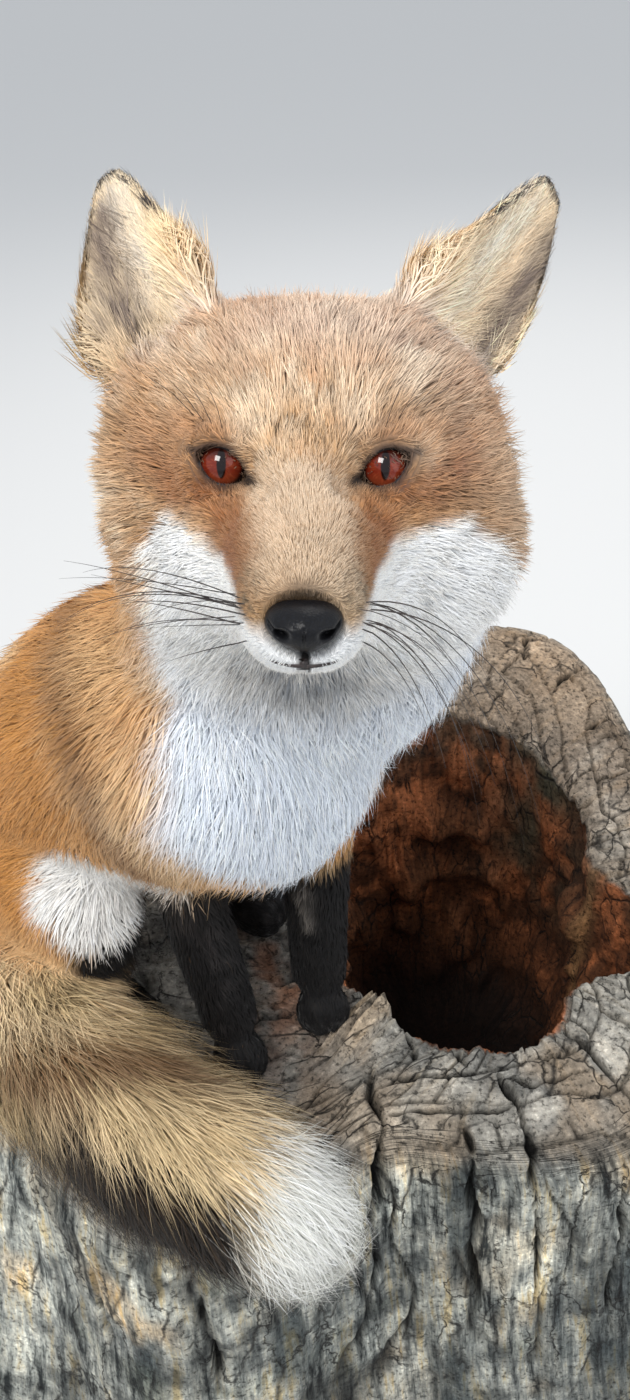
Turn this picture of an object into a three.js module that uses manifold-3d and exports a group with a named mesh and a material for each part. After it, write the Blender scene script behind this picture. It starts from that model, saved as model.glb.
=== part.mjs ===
// A museum mount of a red fox, Vulpes vulpes: it sits on a hollow, weathered stump with its tail
// curled round its feet and looks up a little. Millimetres, +Z up, and the fox faces -Y. The origin
// is the centre of the stump's flat underside. "Left" and "right" are the fox's own.
//
// Every solid is a loft: rings round a curve, each with a half width, a height above and a depth below the
// curve. The sizes are those of the coat, out to the tips of the fur.
import * as THREE from 'three';
import { mergeVertices } from 'three/addons/utils/BufferGeometryUtils.js';
import Module from 'manifold-3d';

const wasm = await Module();
wasm.setup();

// ---- Driving dimensions ----
const GAP = 0.3; // between neighbouring pieces
const STUMP_HEIGHT = 320; // floor to the seat
const SEAT = [-20, -150]; // where the forefeet stand on the stump, seen from above
const EYE_HEIGHT = 400; // above the seat
const EYE_FORWARD = 60; // ahead of the forefeet
const EYE_SIDEWAYS = 35; // towards the fox's left
const HEAD_PITCH = 20; // degrees, nose up
const HEAD_YAW = -2;
const HEAD_ROLL = 4.5;
const BODY_TURN = 48; // degrees between the body's line and the head's, rump to the fox's right
const CHEST = [5, 10]; // on the body's midline, from the forefeet
const EYE_RADIUS = 8.6;
const EYE_SPACING = 50;
const EYE_DEPTH = -2; // the ball's centre behind the head frame's origin
const ORBIT_RADIUS = 10; // of the hollow in front of each eye
const ORBIT_AHEAD = 12; // its centre before the ball's

const UP = new THREE.Vector3(0, 0, 1);
const LEFT = new THREE.Vector3(1, 0, 0);
const RIGHT = new THREE.Vector3(-1, 0, 0);
const radians = THREE.MathUtils.degToRad;
const ROUND = 1; // box of a ring that is an ellipse; less is squarer

// ---- Lofts ----

// One ring of a section. side, up and down are its half width and its reach above and below the curve;
// box squares it, and cup bends its two edges forwards, as an ear's are.
function ringPoint(section, angle) {
  const cos = Math.cos(angle);
  const sin = Math.sin(angle);
  const x = section.side * Math.sign(cos) * Math.abs(cos) ** section.box;
  const y = (sin > 0 ? section.up : section.down) * Math.sign(sin) * Math.abs(sin) ** section.box;
  return [x, y - section.cup * cos * cos];
}

// The sizes at any place along a loft, smooth through the stated sections.
function sizesAlong(sections) {
  const curve = (triple) => new THREE.CatmullRomCurve3(sections.map((s) => new THREE.Vector3(...triple(s))));
  const main = curve((s) => [s.side, s.up, s.down]);
  const shape = curve((s) => [s.box ?? ROUND, s.cup ?? 0, 0]);
  return (t) => {
    const m = main.getPoint(t);
    const f = shape.getPoint(t);
    return { side: m.x, up: m.y, down: m.z, box: f.x, cup: f.y };
  };
}

// A closed loft along the sections. lateral is the direction of their half width, and the curve's tangent
// crossed with it is up; without it that is level and square to the curve. The ends are domes of the stated
// lengths. grow swells it all round.
function loft(sections, { sides = 16, steps = 10, domes = [8, 8], lateral = null, grow = 0 } = {}) {
  const path = new THREE.CatmullRomCurve3(sections.map((s) => new THREE.Vector3(...s.at)));
  const sizes = sizesAlong(sections);
  const stations = [];
  const DOME_STEPS = [0.93, 0.55]; // shares of a dome's length
  for (const share of DOME_STEPS) stations.push({ t: 0, out: -share });
  for (let i = 0; i <= steps; i++) stations.push({ t: i / steps, out: 0 });
  for (const share of [...DOME_STEPS].reverse()) stations.push({ t: 1, out: share });

  const rows = stations.map(({ t, out }) => {
    const tangent = path.getTangent(t);
    const across = (lateral ? lateral.clone() : new THREE.Vector3().crossVectors(UP, tangent)).normalize();
    const above = new THREE.Vector3().crossVectors(tangent, across).normalize();
    across.crossVectors(above, tangent).normalize();
    const length = (out < 0 ? domes[0] : domes[1]) + grow;
    const centre = path.getPoint(t).addScaledVector(tangent, out * length);
    const shrink = Math.sqrt(1 - out * out);
    const section = sizes(t);
    for (const key of ['side', 'up', 'down']) section[key] = (section[key] + grow) * shrink;
    section.cup *= shrink;
    return Array.from({ length: sides }, (_, j) => {
      const [x, y] = ringPoint(section, (2 * Math.PI * j) / sides);
      return centre.clone().addScaledVector(across, x).addScaledVector(above, y);
    });
  });
  return closed(rows);
}

// A closed surface through rows of points, with a fan at each end, as a manifold.
function closed(rows) {
  const sides = rows[0].length;
  const mean = (row) => row.reduce((sum, p) => sum.add(p), new THREE.Vector3()).divideScalar(sides);
  const points = [...rows.flat(), mean(rows[0]), mean(rows.at(-1))];
  const [first, last] = [points.length - 2, points.length - 1];
  const faces = [];
  rows.forEach((_, i) => {
    for (let j = 0; j < sides; j++) {
      const k = (j + 1) % sides;
      const [a, b] = [i * sides + j, i * sides + k];
      if (i === 0) faces.push(first, b, a);
      if (i === rows.length - 1) faces.push(last, a, b);
      else faces.push(a, b, b + sides, a, b + sides, a + sides);
    }
  });
  const geometry = new THREE.BufferGeometry().setFromPoints(points);
  geometry.setIndex(faces);
  return toManifold(geometry);
}

function toManifold(geometry) {
  const bare = geometry.clone();
  bare.deleteAttribute('normal');
  bare.deleteAttribute('uv');
  const merged = mergeVertices(bare, 1e-4);
  const solid = new wasm.Manifold(
    new wasm.Mesh({
      numProp: 3,
      vertProperties: merged.attributes.position.array,
      triVerts: new Uint32Array(merged.index.array),
    }),
  );
  if (solid.volume() > 0) return solid;
  merged.index.array.reverse();
  return toManifold(merged);
}

function toGeometry(solid) {
  const { vertProperties, triVerts } = solid.getMesh();
  const geometry = new THREE.BufferGeometry();
  geometry.setAttribute('position', new THREE.Float32BufferAttribute(vertProperties, 3));
  geometry.setIndex([...triVerts]);
  geometry.computeVertexNormals();
  return geometry;
}

const biggest = (solid) => solid.decompose().sort((a, b) => b.volume() - a.volume())[0];

// ---- Frames ----
const seatFrame = new THREE.Matrix4().makeTranslation(...SEAT, STUMP_HEIGHT);

// The head's own frame has its origin midway between the eyes, -Y along the muzzle when the head is level.
const headFrame = new THREE.Matrix4()
  .makeTranslation(EYE_SIDEWAYS, -EYE_FORWARD, EYE_HEIGHT)
  .multiply(
    new THREE.Matrix4().makeRotationFromEuler(
      new THREE.Euler(-radians(HEAD_PITCH), radians(HEAD_ROLL), radians(HEAD_YAW), 'ZYX'),
    ),
  )
  .premultiply(seatFrame);

// The body's own frame has +Y from the chest to the rump and +X to the fox's left.
const bodyFrame = new THREE.Matrix4()
  .makeTranslation(...CHEST, 0)
  .multiply(new THREE.Matrix4().makeRotationZ(radians(BODY_TURN)))
  .premultiply(seatFrame);

const moved = (solid, frame) => solid.transform(frame.elements);
const between = (a, b, share) => new THREE.Vector3(...a).lerp(new THREE.Vector3(...b), share).toArray();

// ---- Head ----
function head(grow) {
  const sections = [
    { at: [0, -71, -38], side: 13, up: 15, down: 10, box: 0.9 },
    { at: [0, -60, -37], side: 18, up: 22, down: 15, box: 0.85 },
    { at: [0, -44, -34], side: 21, up: 27, down: 19, box: 0.85 },
    { at: [0, -28, -31], side: 25, up: 33, down: 23, box: 0.85 },
    { at: [0, -13, -30], side: 34, up: 38, down: 29, box: 0.9 },
    { at: [0, -2, -28], side: 45, up: 45, down: 36, box: 0.9 },
    { at: [1, 9, -26], side: 57, up: 59, down: 44, box: 0.92 },
    { at: [2, 23, -25], side: 70, up: 73, down: 54, box: 0.86 },
    { at: [3, 40, -25], side: 78, up: 80, down: 62, box: 0.84 },
    { at: [3, 58, -26], side: 75, up: 80, down: 66, box: 0.87 },
    { at: [2, 76, -28], side: 61, up: 72, down: 60, box: 0.95 },
    { at: [0, 92, -31], side: 40, up: 54, down: 45 },
  ];
  const shape = loft(sections, { sides: 24, steps: 15, domes: [3, 14], lateral: RIGHT, grow });
  const whole = moved(shape, headFrame);
  const orbit = (side) => ball(ORBIT_RADIUS - grow, [side * (EYE_SPACING / 2), EYE_DEPTH - ORBIT_AHEAD, 0]);
  return whole.subtract(orbit(1)).subtract(orbit(-1));
}

function ball(radius, [x, y, z]) {
  const sphere = toManifold(new THREE.SphereGeometry(radius, 12, 8));
  return moved(sphere, headFrame.clone().multiply(new THREE.Matrix4().makeTranslation(x, y, z)));
}

function eye(side) {
  return (grow) => ball(EYE_RADIUS + grow, [(side * EYE_SPACING) / 2, EYE_DEPTH, 0]);
}

// The bare black pad at the tip of the muzzle.
function nose(grow) {
  const sections = [
    { at: [0, -78, -35], side: 8.5, up: 6, down: 6, box: 0.85 },
    { at: [0, -73, -34.5], side: 10.5, up: 7.5, down: 8, box: 0.8 },
    { at: [0, -67, -34], side: 9, up: 7, down: 7, box: 0.9 },
  ];
  return moved(loft(sections, { sides: 12, steps: 3, domes: [2.5, 3], lateral: RIGHT, grow }), headFrame);
}

// An ear stands on the skull and leans outwards and back; it turns its cup away from the other one.
const EARS = {
  left: { side: 1, root: [41, 54, 35], lean: 40, back: 22, turn: 28, height: 81, width: 0.96 },
  right: { side: -1, root: [-44, 54, 36], lean: 24, back: 24, turn: 20, height: 68, width: 0.9 },
};

function ear({ side, root, lean, back, turn, height, width }) {
  return (grow) => {
    const section = (share, half, thick, cup) => ({
      at: [0, 0, height * share],
      side: half * width,
      up: thick,
      down: thick,
      cup,
    });
    const sections = [
      section(-0.25, 27, 12, 11),
      section(0.05, 32, 11, 16),
      section(0.3, 29, 8, 16),
      section(0.55, 22, 6.5, 12),
      section(0.78, 15, 5.5, 7),
      section(0.94, 8.5, 4.5, 3),
    ];
    const shape = loft(sections, { sides: 12, steps: 7, domes: [4, 5], lateral: LEFT, grow });
    const stance = new THREE.Matrix4()
      .makeTranslation(...root)
      .multiply(new THREE.Matrix4().makeRotationY(radians(side * lean)))
      .multiply(new THREE.Matrix4().makeRotationX(-radians(back)))
      .multiply(new THREE.Matrix4().makeRotationZ(radians(side * turn)));
    return moved(shape, headFrame.clone().multiply(stance));
  };
}

// ---- Neck and trunk, from the forefeet's middle ----
function neck(grow) {
  const sections = [
    { at: [38, -30, 380], side: 50, up: 46, down: 50 },
    { at: [38, -14, 348], side: 68, up: 58, down: 60 },
    { at: [33, 4, 308], side: 79, up: 62, down: 70 },
    { at: [18, 24, 262], side: 79, up: 60, down: 74 },
  ];
  return moved(loft(sections, { sides: 14, steps: 6, domes: [10, 26], lateral: LEFT, grow }), seatFrame);
}

function trunk(grow) {
  const sections = [
    { at: [26, -23, 232], side: 56, up: 58, down: 66 },
    { at: [6, 4, 235], side: 79, up: 80, down: 84, box: 1.06 },
    { at: [-32, 42, 222], side: 80, up: 81, down: 84 },
    { at: [-78, 84, 182], side: 80, up: 76, down: 80 },
    { at: [-118, 116, 136], side: 80, up: 70, down: 74 },
    { at: [-152, 144, 98], side: 72, up: 58, down: 62 },
  ];
  return moved(loft(sections, { sides: 16, steps: 8, domes: [14, 28], grow }), seatFrame);
}

// ---- Legs ----
// Forelegs run from the shoulder through the elbow to the wrist, and the paw stands flat.
const FORELEGS = {
  left: {
    shoulder: [24, 40, 215],
    elbow: [32, 52, 165],
    wrist: [25, 36, 88],
    ankle: [23, 32, 32],
    toes: [24, 12, 14],
  },
  right: {
    shoulder: [-42, 34, 205],
    elbow: [-46, 30, 160],
    wrist: [-36, 12, 88],
    ankle: [-29, 4, 32],
    toes: [-23, -18, 14],
  },
};

function upperForeleg({ shoulder, elbow, wrist }) {
  return (grow) => {
    const below = between(elbow, wrist, 0.35);
    const sections = [
      { at: shoulder, side: 34, up: 42, down: 42 },
      { at: elbow, side: 26, up: 32, down: 32 },
      { at: below, side: 22, up: 23, down: 23 },
    ];
    return moved(loft(sections, { sides: 12, steps: 4, domes: [20, 6], lateral: LEFT, grow }), seatFrame);
  };
}

function lowerForeleg({ elbow, wrist, ankle }) {
  return (grow) => {
    const sections = [
      { at: between(elbow, wrist, 0.3), side: 22, up: 22, down: 22 },
      { at: wrist, side: 20, up: 19, down: 19 },
      { at: ankle, side: 18, up: 17, down: 17 },
    ];
    return moved(loft(sections, { sides: 12, steps: 4, domes: [5, 5], lateral: LEFT, grow }), seatFrame);
  };
}

// A paw lies along from heel to toes with a flat sole at the seat's level.
const SOLE = 0.3; // the sole's height over the seat
const PAW_LEVEL = 0.45; // of the curve through a paw, as a share of its height
function paw(heel, toes, width, height) {
  return (grow) => {
    const level = (share, size) => {
      const [x, y] = between(heel, toes, share);
      const z = height * PAW_LEVEL;
      return { at: [x, y, z], side: width * size, up: (height * size * 5) / 8, down: z - SOLE, box: 0.75 };
    };
    const sections = [level(0, 0.72), level(0.35, 0.85), level(0.75, 1), level(1, 0.8)];
    return moved(loft(sections, { sides: 12, steps: 4, domes: [5, 7], grow }), seatFrame);
  };
}

// Hind legs are folded: the thigh points forwards from the hip, the shank comes back to the hock, and the
// long foot lies flat. They are told in the body's frame, out from its midline.
const HIND = {
  hip: [42, 165, 112],
  knee: [64, 70, 126],
  hock: [46, 152, 34],
  toes: [56, 62, 15],
};
const HIND_HEEL_SHARE = 0.12; // where the foot begins between the hock and the toes

const onSide = ([x, y, z], side) => new THREE.Vector3(x * side, y, z);

function thigh(side) {
  return (grow) => {
    const [hip, knee] = [onSide(HIND.hip, side), onSide(HIND.knee, side)];
    const at = (share) => hip.clone().lerp(knee, share).toArray();
    const sections = [
      { at: at(-0.3), side: 46, up: 52, down: 62 },
      { at: at(0.1), side: 52, up: 60, down: 76 },
      { at: at(0.5), side: 46, up: 54, down: 74 },
      { at: at(0.85), side: 36, up: 42, down: 56 },
      { at: at(1.05), side: 28, up: 32, down: 42 },
    ];
    return moved(loft(sections, { sides: 12, steps: 6, domes: [24, 12], grow }), bodyFrame);
  };
}

function shank(side) {
  return (grow) => {
    const [knee, hock] = [onSide(HIND.knee, side), onSide(HIND.hock, side)];
    knee.z -= 40;
    const sections = [
      { at: knee.toArray(), side: 27, up: 26, down: 26 },
      { at: knee.clone().lerp(hock, 0.5).toArray(), side: 24, up: 24, down: 24 },
      { at: hock.toArray(), side: 15, up: 18, down: 18 },
    ];
    return moved(loft(sections, { sides: 12, steps: 4, domes: [8, 10], grow }), bodyFrame);
  };
}

function hindFoot(side) {
  const [hock, toes] = [onSide(HIND.hock, side), onSide(HIND.toes, side)];
  const heel = hock.clone().lerp(toes, HIND_HEEL_SHARE);
  const inSeat = new THREE.Matrix4().copy(seatFrame).invert().multiply(bodyFrame);
  return paw(heel.applyMatrix4(inSeat).toArray(), toes.applyMatrix4(inSeat).toArray(), 19, 34);
}

// ---- Tail: one curve from the rump round the right side to the front of the feet, in three lengths ----
const TAIL = [
  { at: [-158, 158, 62], side: 30, up: 32, down: 32 },
  { at: [-184, 114, 60], side: 45, up: 46, down: 50 },
  { at: [-186, 62, 60], side: 51, up: 50, down: 54 },
  { at: [-160, 14, 59], side: 52, up: 50, down: 55 },
  { at: [-112, -28, 55], side: 49, up: 48, down: 54 },
  { at: [-64, -71, 48], side: 47, up: 47, down: 48 },
  { at: [-24, -94, 35], side: 45, up: 44, down: 45 },
  { at: [10, -102, 4], side: 34, up: 34, down: 34 },
];
const TAIL_CUTS = [2 / 7, 4.5 / 7]; // where it is divided, as shares of the curve
const TAIL_CLEAR = 80; // the cuts reach this far from the curve

function tail(grow) {
  return moved(loft(TAIL, { sides: 14, steps: 15, domes: [20, 24], grow }), seatFrame);
}

// One of the tail's lengths, counted from the rump, after thin cuts square to the curve.
function tailLength(index) {
  const path = new THREE.CatmullRomCurve3(TAIL.map((s) => new THREE.Vector3(...s.at)));
  const discAxis = new THREE.Vector3(0, 1, 0);
  const slab = (share) => {
    const turn = new THREE.Quaternion().setFromUnitVectors(discAxis, path.getTangent(share));
    const frame = new THREE.Matrix4().compose(path.getPoint(share), turn, new THREE.Vector3(1, 1, 1));
    const disc = toManifold(new THREE.CylinderGeometry(TAIL_CLEAR, TAIL_CLEAR, GAP, 12));
    return moved(disc, frame.premultiply(seatFrame));
  };
  return (grow) => {
    let whole = tail(grow);
    for (const share of TAIL_CUTS) whole = whole.subtract(slab(share));
    const middle = new THREE.Vector3(...SEAT, 0);
    const turnOf = (piece) => {
      const { min, max } = piece.boundingBox();
      return Math.atan2((min[0] + max[0]) / 2 - middle.x, (min[1] + max[1]) / 2 - middle.y);
    };
    const lengths = whole.decompose().sort((a, b) => turnOf(b) - turnOf(a));
    return lengths[index];
  };
}

// ---- Stump ----
const STUMP = {
  halfWidth: 268, // along X at the top
  halfDepth: 250, // along Y at the top
  flare: 44, // how much wider it is at the floor
  hollow: { at: [99, -21], halfWidth: 95, halfDepth: 124, floor: 70 },
  edge: 26, // rounding of the rim's outside
  lip: 6, // and of its inside
};
const SIDES = 44;

// A rise or dip of an outline round one direction, both in degrees.
const bump = (angle, centre, width, size) => {
  const off = THREE.MathUtils.euclideanModulo(THREE.MathUtils.radToDeg(angle) - centre + 180, 360) - 180;
  return size * Math.exp(-((off / width) ** 2));
};

// The stump's outline: broad buttresses with shallow ribs, deeper towards the floor.
function outline(angle, depth) {
  const front = bump(angle, -112, 20, 0.08) + bump(angle, -82, 13, -0.13) + bump(angle, -52, 18, 0.09);
  const rear = bump(angle, 43, 19, 0.18) + bump(angle, 165, 25, 0.05);
  const ribs = 0.012 * Math.sin(7 * angle + 1.3) + 0.009 * Math.sin(11 * angle + 4.0);
  const root = bump(angle, -143, 22, 0.16) * depth;
  return 1 + front + rear + root + ribs * (1 + 2 * depth);
}

// The hollow's wall is uneven too, with a deep recess on the right of it and a corner behind that.
function hollowOutline(angle) {
  const broad = 0.04 * Math.sin(3 * angle + 0.4) + 0.03 * Math.sin(5 * angle + 1.9);
  const recess = bump(angle, -24, 16, 0.34) + bump(angle, 4, 10, -0.13) + bump(angle, 36, 14, 0.07);
  return 1 + broad + recess + 0.02 * Math.sin(9 * angle);
}

// The rim stands higher behind the hollow.
const rimRise = (angle) => bump(angle, 60, 44, 46);

function stump(grow) {
  const { halfWidth, halfDepth, flare, hollow, edge, lip } = STUMP;
  const [hubX, hubY] = hollow.at;
  // Both outlines are walked in the directions seen from the hollow's middle; bearing is as seen from
  // the origin.
  const directions = Array.from({ length: SIDES }, (_, j) => (2 * Math.PI * j) / SIDES);
  const bearing = (a) => Math.atan2(hubY + halfWidth * Math.sin(a), hubX + halfWidth * Math.cos(a));
  const outer = (z, inset, share) =>
    directions.map((a) => {
      const b = bearing(a);
      const depth = Math.max(0, 1 - z / STUMP_HEIGHT);
      const spread = flare * depth ** 1.6 - inset + grow;
      const size = outline(b, depth);
      const x = (halfWidth * size + spread) * Math.cos(b);
      const y = (halfDepth * size + spread) * Math.sin(b);
      return new THREE.Vector3(x, y, z + share * rimRise(b));
    });
  const inner = (z, outset, share) =>
    directions.map((a) => {
      const size = hollowOutline(a);
      const x = hubX + (hollow.halfWidth * size + outset - grow) * Math.cos(a);
      const y = hubY + (hollow.halfDepth * size + outset - grow) * Math.sin(a);
      return new THREE.Vector3(x, y, z + share * rimRise(bearing(a)));
    });
  const top = STUMP_HEIGHT + grow;
  return closed([
    outer(0, 0, 0),
    outer(top * 0.12, 0, 0),
    outer(top * 0.35, 0, 0),
    outer(top * 0.65, 0, 0.3),
    outer(top - edge, 0, 0.85),
    outer(top - edge * 0.3, edge * 0.3, 1),
    outer(top, edge, 1),
    inner(top, lip, 1),
    inner(top - lip, 0, 0.95),
    inner(top * 0.6, -6, 0.3),
    inner(hollow.floor + 25, -18, 0),
    inner(hollow.floor + grow, -45, 0),
  ]);
}

// ---- The mount ----
const fur = (color) => new THREE.MeshStandardMaterial({ color, roughness: 0.95, metalness: 0 });
const MATERIALS = {
  rust: fur(0xb86a2c),
  fawn: fur(0xc59a66),
  cream: fur(0xd9c39a),
  black: fur(0x1d1a19),
  white: fur(0xe6e2d8),
  nose: new THREE.MeshStandardMaterial({ color: 0x0c0d0f, roughness: 0.3, metalness: 0 }),
  eye: new THREE.MeshStandardMaterial({ color: 0x8a2c10, roughness: 0.05, metalness: 0 }),
  wood: new THREE.MeshStandardMaterial({ color: 0x8d8578, roughness: 0.95, metalness: 0 }),
};

// Each piece gives way to those before it.
const PIECES = [
  ['stump', stump, 'wood'],
  ['eye_left', eye(1), 'eye'],
  ['eye_right', eye(-1), 'eye'],
  ['nose', nose, 'nose'],
  ['head', head, 'fawn'],
  ['ear_left', ear(EARS.left), 'cream'],
  ['ear_right', ear(EARS.right), 'cream'],
  ['trunk', trunk, 'rust'],
  ['neck', neck, 'white'],
  ...['left', 'right'].flatMap((name) => {
    const leg = FORELEGS[name];
    return [
      [`upper_foreleg_${name}`, upperForeleg(leg), 'rust'],
      [`lower_foreleg_${name}`, lowerForeleg(leg), 'black'],
      [`forepaw_${name}`, paw(leg.ankle, leg.toes, 18, 32), 'black'],
    ];
  }),
  ...[['left', 1], ['right', -1]].flatMap(([name, side]) => [
    [`thigh_${name}`, thigh(side), 'rust'],
    [`shank_${name}`, shank(side), 'rust'],
    [`hind_foot_${name}`, hindFoot(side), 'black'],
  ]),
  ['tail_root', tailLength(0), 'cream'],
  ['tail_middle', tailLength(1), 'cream'],
  ['tail_tip', tailLength(2), 'white'],
];

const mount = new THREE.Group();
const taken = [];
for (const [name, shape, material] of PIECES) {
  let solid = shape(0);
  for (const other of taken) solid = solid.subtract(other);
  const mesh = new THREE.Mesh(toGeometry(biggest(solid)), MATERIALS[material]);
  mesh.name = name;
  mount.add(mesh);
  taken.push(shape(GAP).add(shape(0)));
}

export default mount;
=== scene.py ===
"""A museum mount of a red fox on a hollow stump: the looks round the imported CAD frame.

Lengths inside the modelling code are millimetres and become metres when a mesh is made.
The fox is one level-set skin inside the CAD solids, under tufts made as joined strips.
"""
import math

import bpy
import numpy as np
import openvdb as vdb
from mathutils import Matrix, Vector


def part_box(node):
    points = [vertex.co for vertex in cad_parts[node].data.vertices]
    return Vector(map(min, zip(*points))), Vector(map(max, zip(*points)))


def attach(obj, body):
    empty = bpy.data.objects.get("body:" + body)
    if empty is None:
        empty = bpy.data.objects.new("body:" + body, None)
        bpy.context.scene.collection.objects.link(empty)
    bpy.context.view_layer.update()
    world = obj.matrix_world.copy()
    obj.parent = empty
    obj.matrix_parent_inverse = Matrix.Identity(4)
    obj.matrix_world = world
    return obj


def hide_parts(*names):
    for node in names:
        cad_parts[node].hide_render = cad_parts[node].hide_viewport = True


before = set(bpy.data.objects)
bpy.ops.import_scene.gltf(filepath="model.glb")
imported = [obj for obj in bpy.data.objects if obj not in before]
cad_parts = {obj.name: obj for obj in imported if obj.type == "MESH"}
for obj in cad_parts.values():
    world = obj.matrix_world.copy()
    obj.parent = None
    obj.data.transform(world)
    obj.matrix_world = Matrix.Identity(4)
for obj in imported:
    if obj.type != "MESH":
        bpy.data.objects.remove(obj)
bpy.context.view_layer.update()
MM = 0.001


def srgb(r, g, b):
    """A colour as the eye names it, 0 to 255, in linear light."""
    c = np.array([r, g, b], float) / 255
    return np.where(c <= 0.04045, c / 12.92, ((c + 0.055) / 1.055) ** 2.4)


def unit(v):
    v = np.asarray(v, float)
    return v / np.maximum(np.linalg.norm(v, axis=-1, keepdims=True), 1e-9)


def norm(v):
    return np.linalg.norm(v, axis=-1)


def smooth(low, high, x):
    t = np.clip((x - low) / (high - low), 0, 1)
    return t * t * (3 - 2 * t)


def dot(a, b):
    return np.einsum("...i,...i->...", a, b)


def bell(*terms):
    """1 at a place and less away from it. The terms are values, each with its centre and width."""
    return np.exp(-sum(((terms[n] - terms[n + 1]) / terms[n + 2]) ** 2 for n in range(0, len(terms), 3)))


def xyz(*parts):
    """Points from their coordinates, each an array or one number."""
    return np.stack(np.broadcast_arrays(*parts), -1)


def paint(base, *layers):
    """Colours laid over each other. A layer is a colour and the share it covers."""
    for colour, share in layers:
        base = base + (colour - base) * np.asarray(share)[..., None]
    return base


def added(name, data):
    obj = bpy.data.objects.new(name, data)
    bpy.context.scene.collection.objects.link(obj)
    return obj


# ---- Camera ----
CAMERA = {"at": (0.013, -0.516, 0.863), "tilt": 37.57, "roll": 4.4, "lens": 27.2}


def make_camera():
    data = bpy.data.cameras.new("camera")
    data.lens, data.sensor_width, data.clip_start = CAMERA["lens"], 36, 0.01
    camera = added("camera", data)
    tilt, roll = math.radians(CAMERA["tilt"]), math.radians(CAMERA["roll"])
    view = np.array([0, math.cos(tilt), -math.sin(tilt)])
    side = np.array([1.0, 0, 0])
    up = np.cross(side, view)
    side, up = side * math.cos(roll) + up * -math.sin(roll), up * math.cos(roll) + side * math.sin(roll)
    turn = Matrix([list(row) for row in np.stack([side, up, -view], axis=1)]).to_4x4()
    camera.matrix_world = Matrix.Translation(CAMERA["at"]) @ turn
    bpy.context.scene.camera = camera


make_camera()

# ---- The fox's frames: points are told from the forefeet, the head's from midway between the eyes ----
SEAT = np.array([-20.0, -150, 320])
HEAD_PITCH, HEAD_ROLL, HEAD_YAW = 20, 4.5, -2
BODY_TURN = 48
CHEST = np.array([5.0, 10, 0])


def turned(axis, degrees):
    c, s = math.cos(math.radians(degrees)), math.sin(math.radians(degrees))
    i, j = (axis + 1) % 3, (axis + 2) % 3
    m = np.eye(3)
    m[i, i], m[i, j], m[j, i], m[j, j] = c, -s, s, c
    return m


HEAD_TURN = turned(2, HEAD_YAW) @ turned(1, HEAD_ROLL) @ turned(0, -HEAD_PITCH)
HEAD_AT = SEAT + [35, -60, 400]
BODY_AXES = turned(2, BODY_TURN)


def head_point(*p):
    return HEAD_AT + HEAD_TURN @ np.array(p, float)


def head_local(points):
    return (points - HEAD_AT) @ HEAD_TURN


def body_point(*p):
    return SEAT + CHEST + BODY_AXES @ np.array(p, float)


def seat_point(*p):
    return SEAT + np.array(p, float)


# ---- Noise ----
def hashed(i, j, k, seed):
    """A number from 0 to 1 for each lattice point."""
    h = (i.astype(np.int64) * 374761393 + j.astype(np.int64) * 668265263 + k.astype(np.int64) * 2147483647
         + seed * 1274126177) & 0xFFFFFFFF
    h = ((h ^ (h >> 13)) * 1274126177) & 0xFFFFFFFF
    h = ((h ^ (h >> 16)) * 2246822519) & 0xFFFFFFFF
    return ((h ^ (h >> 15)) & 0xFFFFFF) / float(0x1000000)


def cell_corners(f):
    """The corners of a grid cell, each with its share at the fractions f of the way across."""
    for corner in range(8):
        o = [(corner >> n) & 1 for n in range(3)]
        w = 1
        for n in range(3):
            w = w * (f[:, n] if o[n] else 1 - f[:, n])
        yield o, w


def noise(points, size, seed):
    """Smooth noise from -1 to 1, with features of the stated size; size may be three numbers."""
    p = points / size
    base = np.floor(p)
    f = p - base
    base = base.astype(np.int64)
    total = 0
    for o, w in cell_corners(f * f * (3 - 2 * f)):
        total = total + w * hashed(base[:, 0] + o[0], base[:, 1] + o[1], base[:, 2] + o[2], seed)
    return total * 2 - 1


def fractal(points, size, seed, octaves=4):
    size = np.asarray(size, float)
    total, weight = 0, 0
    for n in range(octaves):
        total = total + noise(points, size / 2**n, seed + n) / 2**n
        weight += 1 / 2**n
    return total / weight


def lock_centres(points, size, seed):
    """The nearest of many scattered points, about a size apart, and a random number that goes with it."""
    p = points / size
    base = np.floor(p).astype(np.int64)
    best, centre, chance = np.full(len(p), 1e9), np.zeros_like(p), np.zeros(len(p))
    for corner in range(27):
        c = base + np.array([corner % 3 - 1, corner // 3 % 3 - 1, corner // 9 - 1])
        at = c + np.stack([hashed(*c.T, seed + n) for n in range(3)], axis=1)
        d = ((at - p) ** 2).sum(1)
        near = d < best
        best[near], centre[near], chance[near] = d[near], at[near], hashed(*c.T, seed + 7)[near]
    return centre * size, chance


# ---- Bones: lines through the body, with a radius at each point ----
NECK = [(38, -30, 380, 50), (38, -14, 348, 64), (33, 4, 308, 72), (18, 24, 262, 72)]
TRUNK = [(26, -23, 232, 58), (6, 4, 235, 79), (-32, 42, 222, 81), (-78, 84, 182, 79),
         (-118, 116, 136, 76), (-152, 144, 98, 66)]
TAIL = [(-158, 158, 62, 31), (-184, 114, 60, 46), (-186, 62, 60, 51), (-160, 14, 59, 52),
        (-112, -28, 55, 49), (-64, -71, 48, 47), (-24, -94, 35, 44), (10, -102, 4, 34)]
FORELEGS = {
    "left": [(24, 40, 215, 36), (32, 52, 165, 29), (25, 36, 88, 20), (23, 32, 32, 18), (24, 12, 14, 17)],
    "right": [(-42, 34, 205, 36), (-46, 30, 160, 29), (-36, 12, 88, 20), (-29, 4, 32, 18), (-23, -18, 14, 17)],
}
HIND = [(42, 165, 112, 60), (64, 70, 126, 34), (46, 152, 34, 18), (50, 120, 20, 17), (56, 62, 15, 18)]
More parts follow.
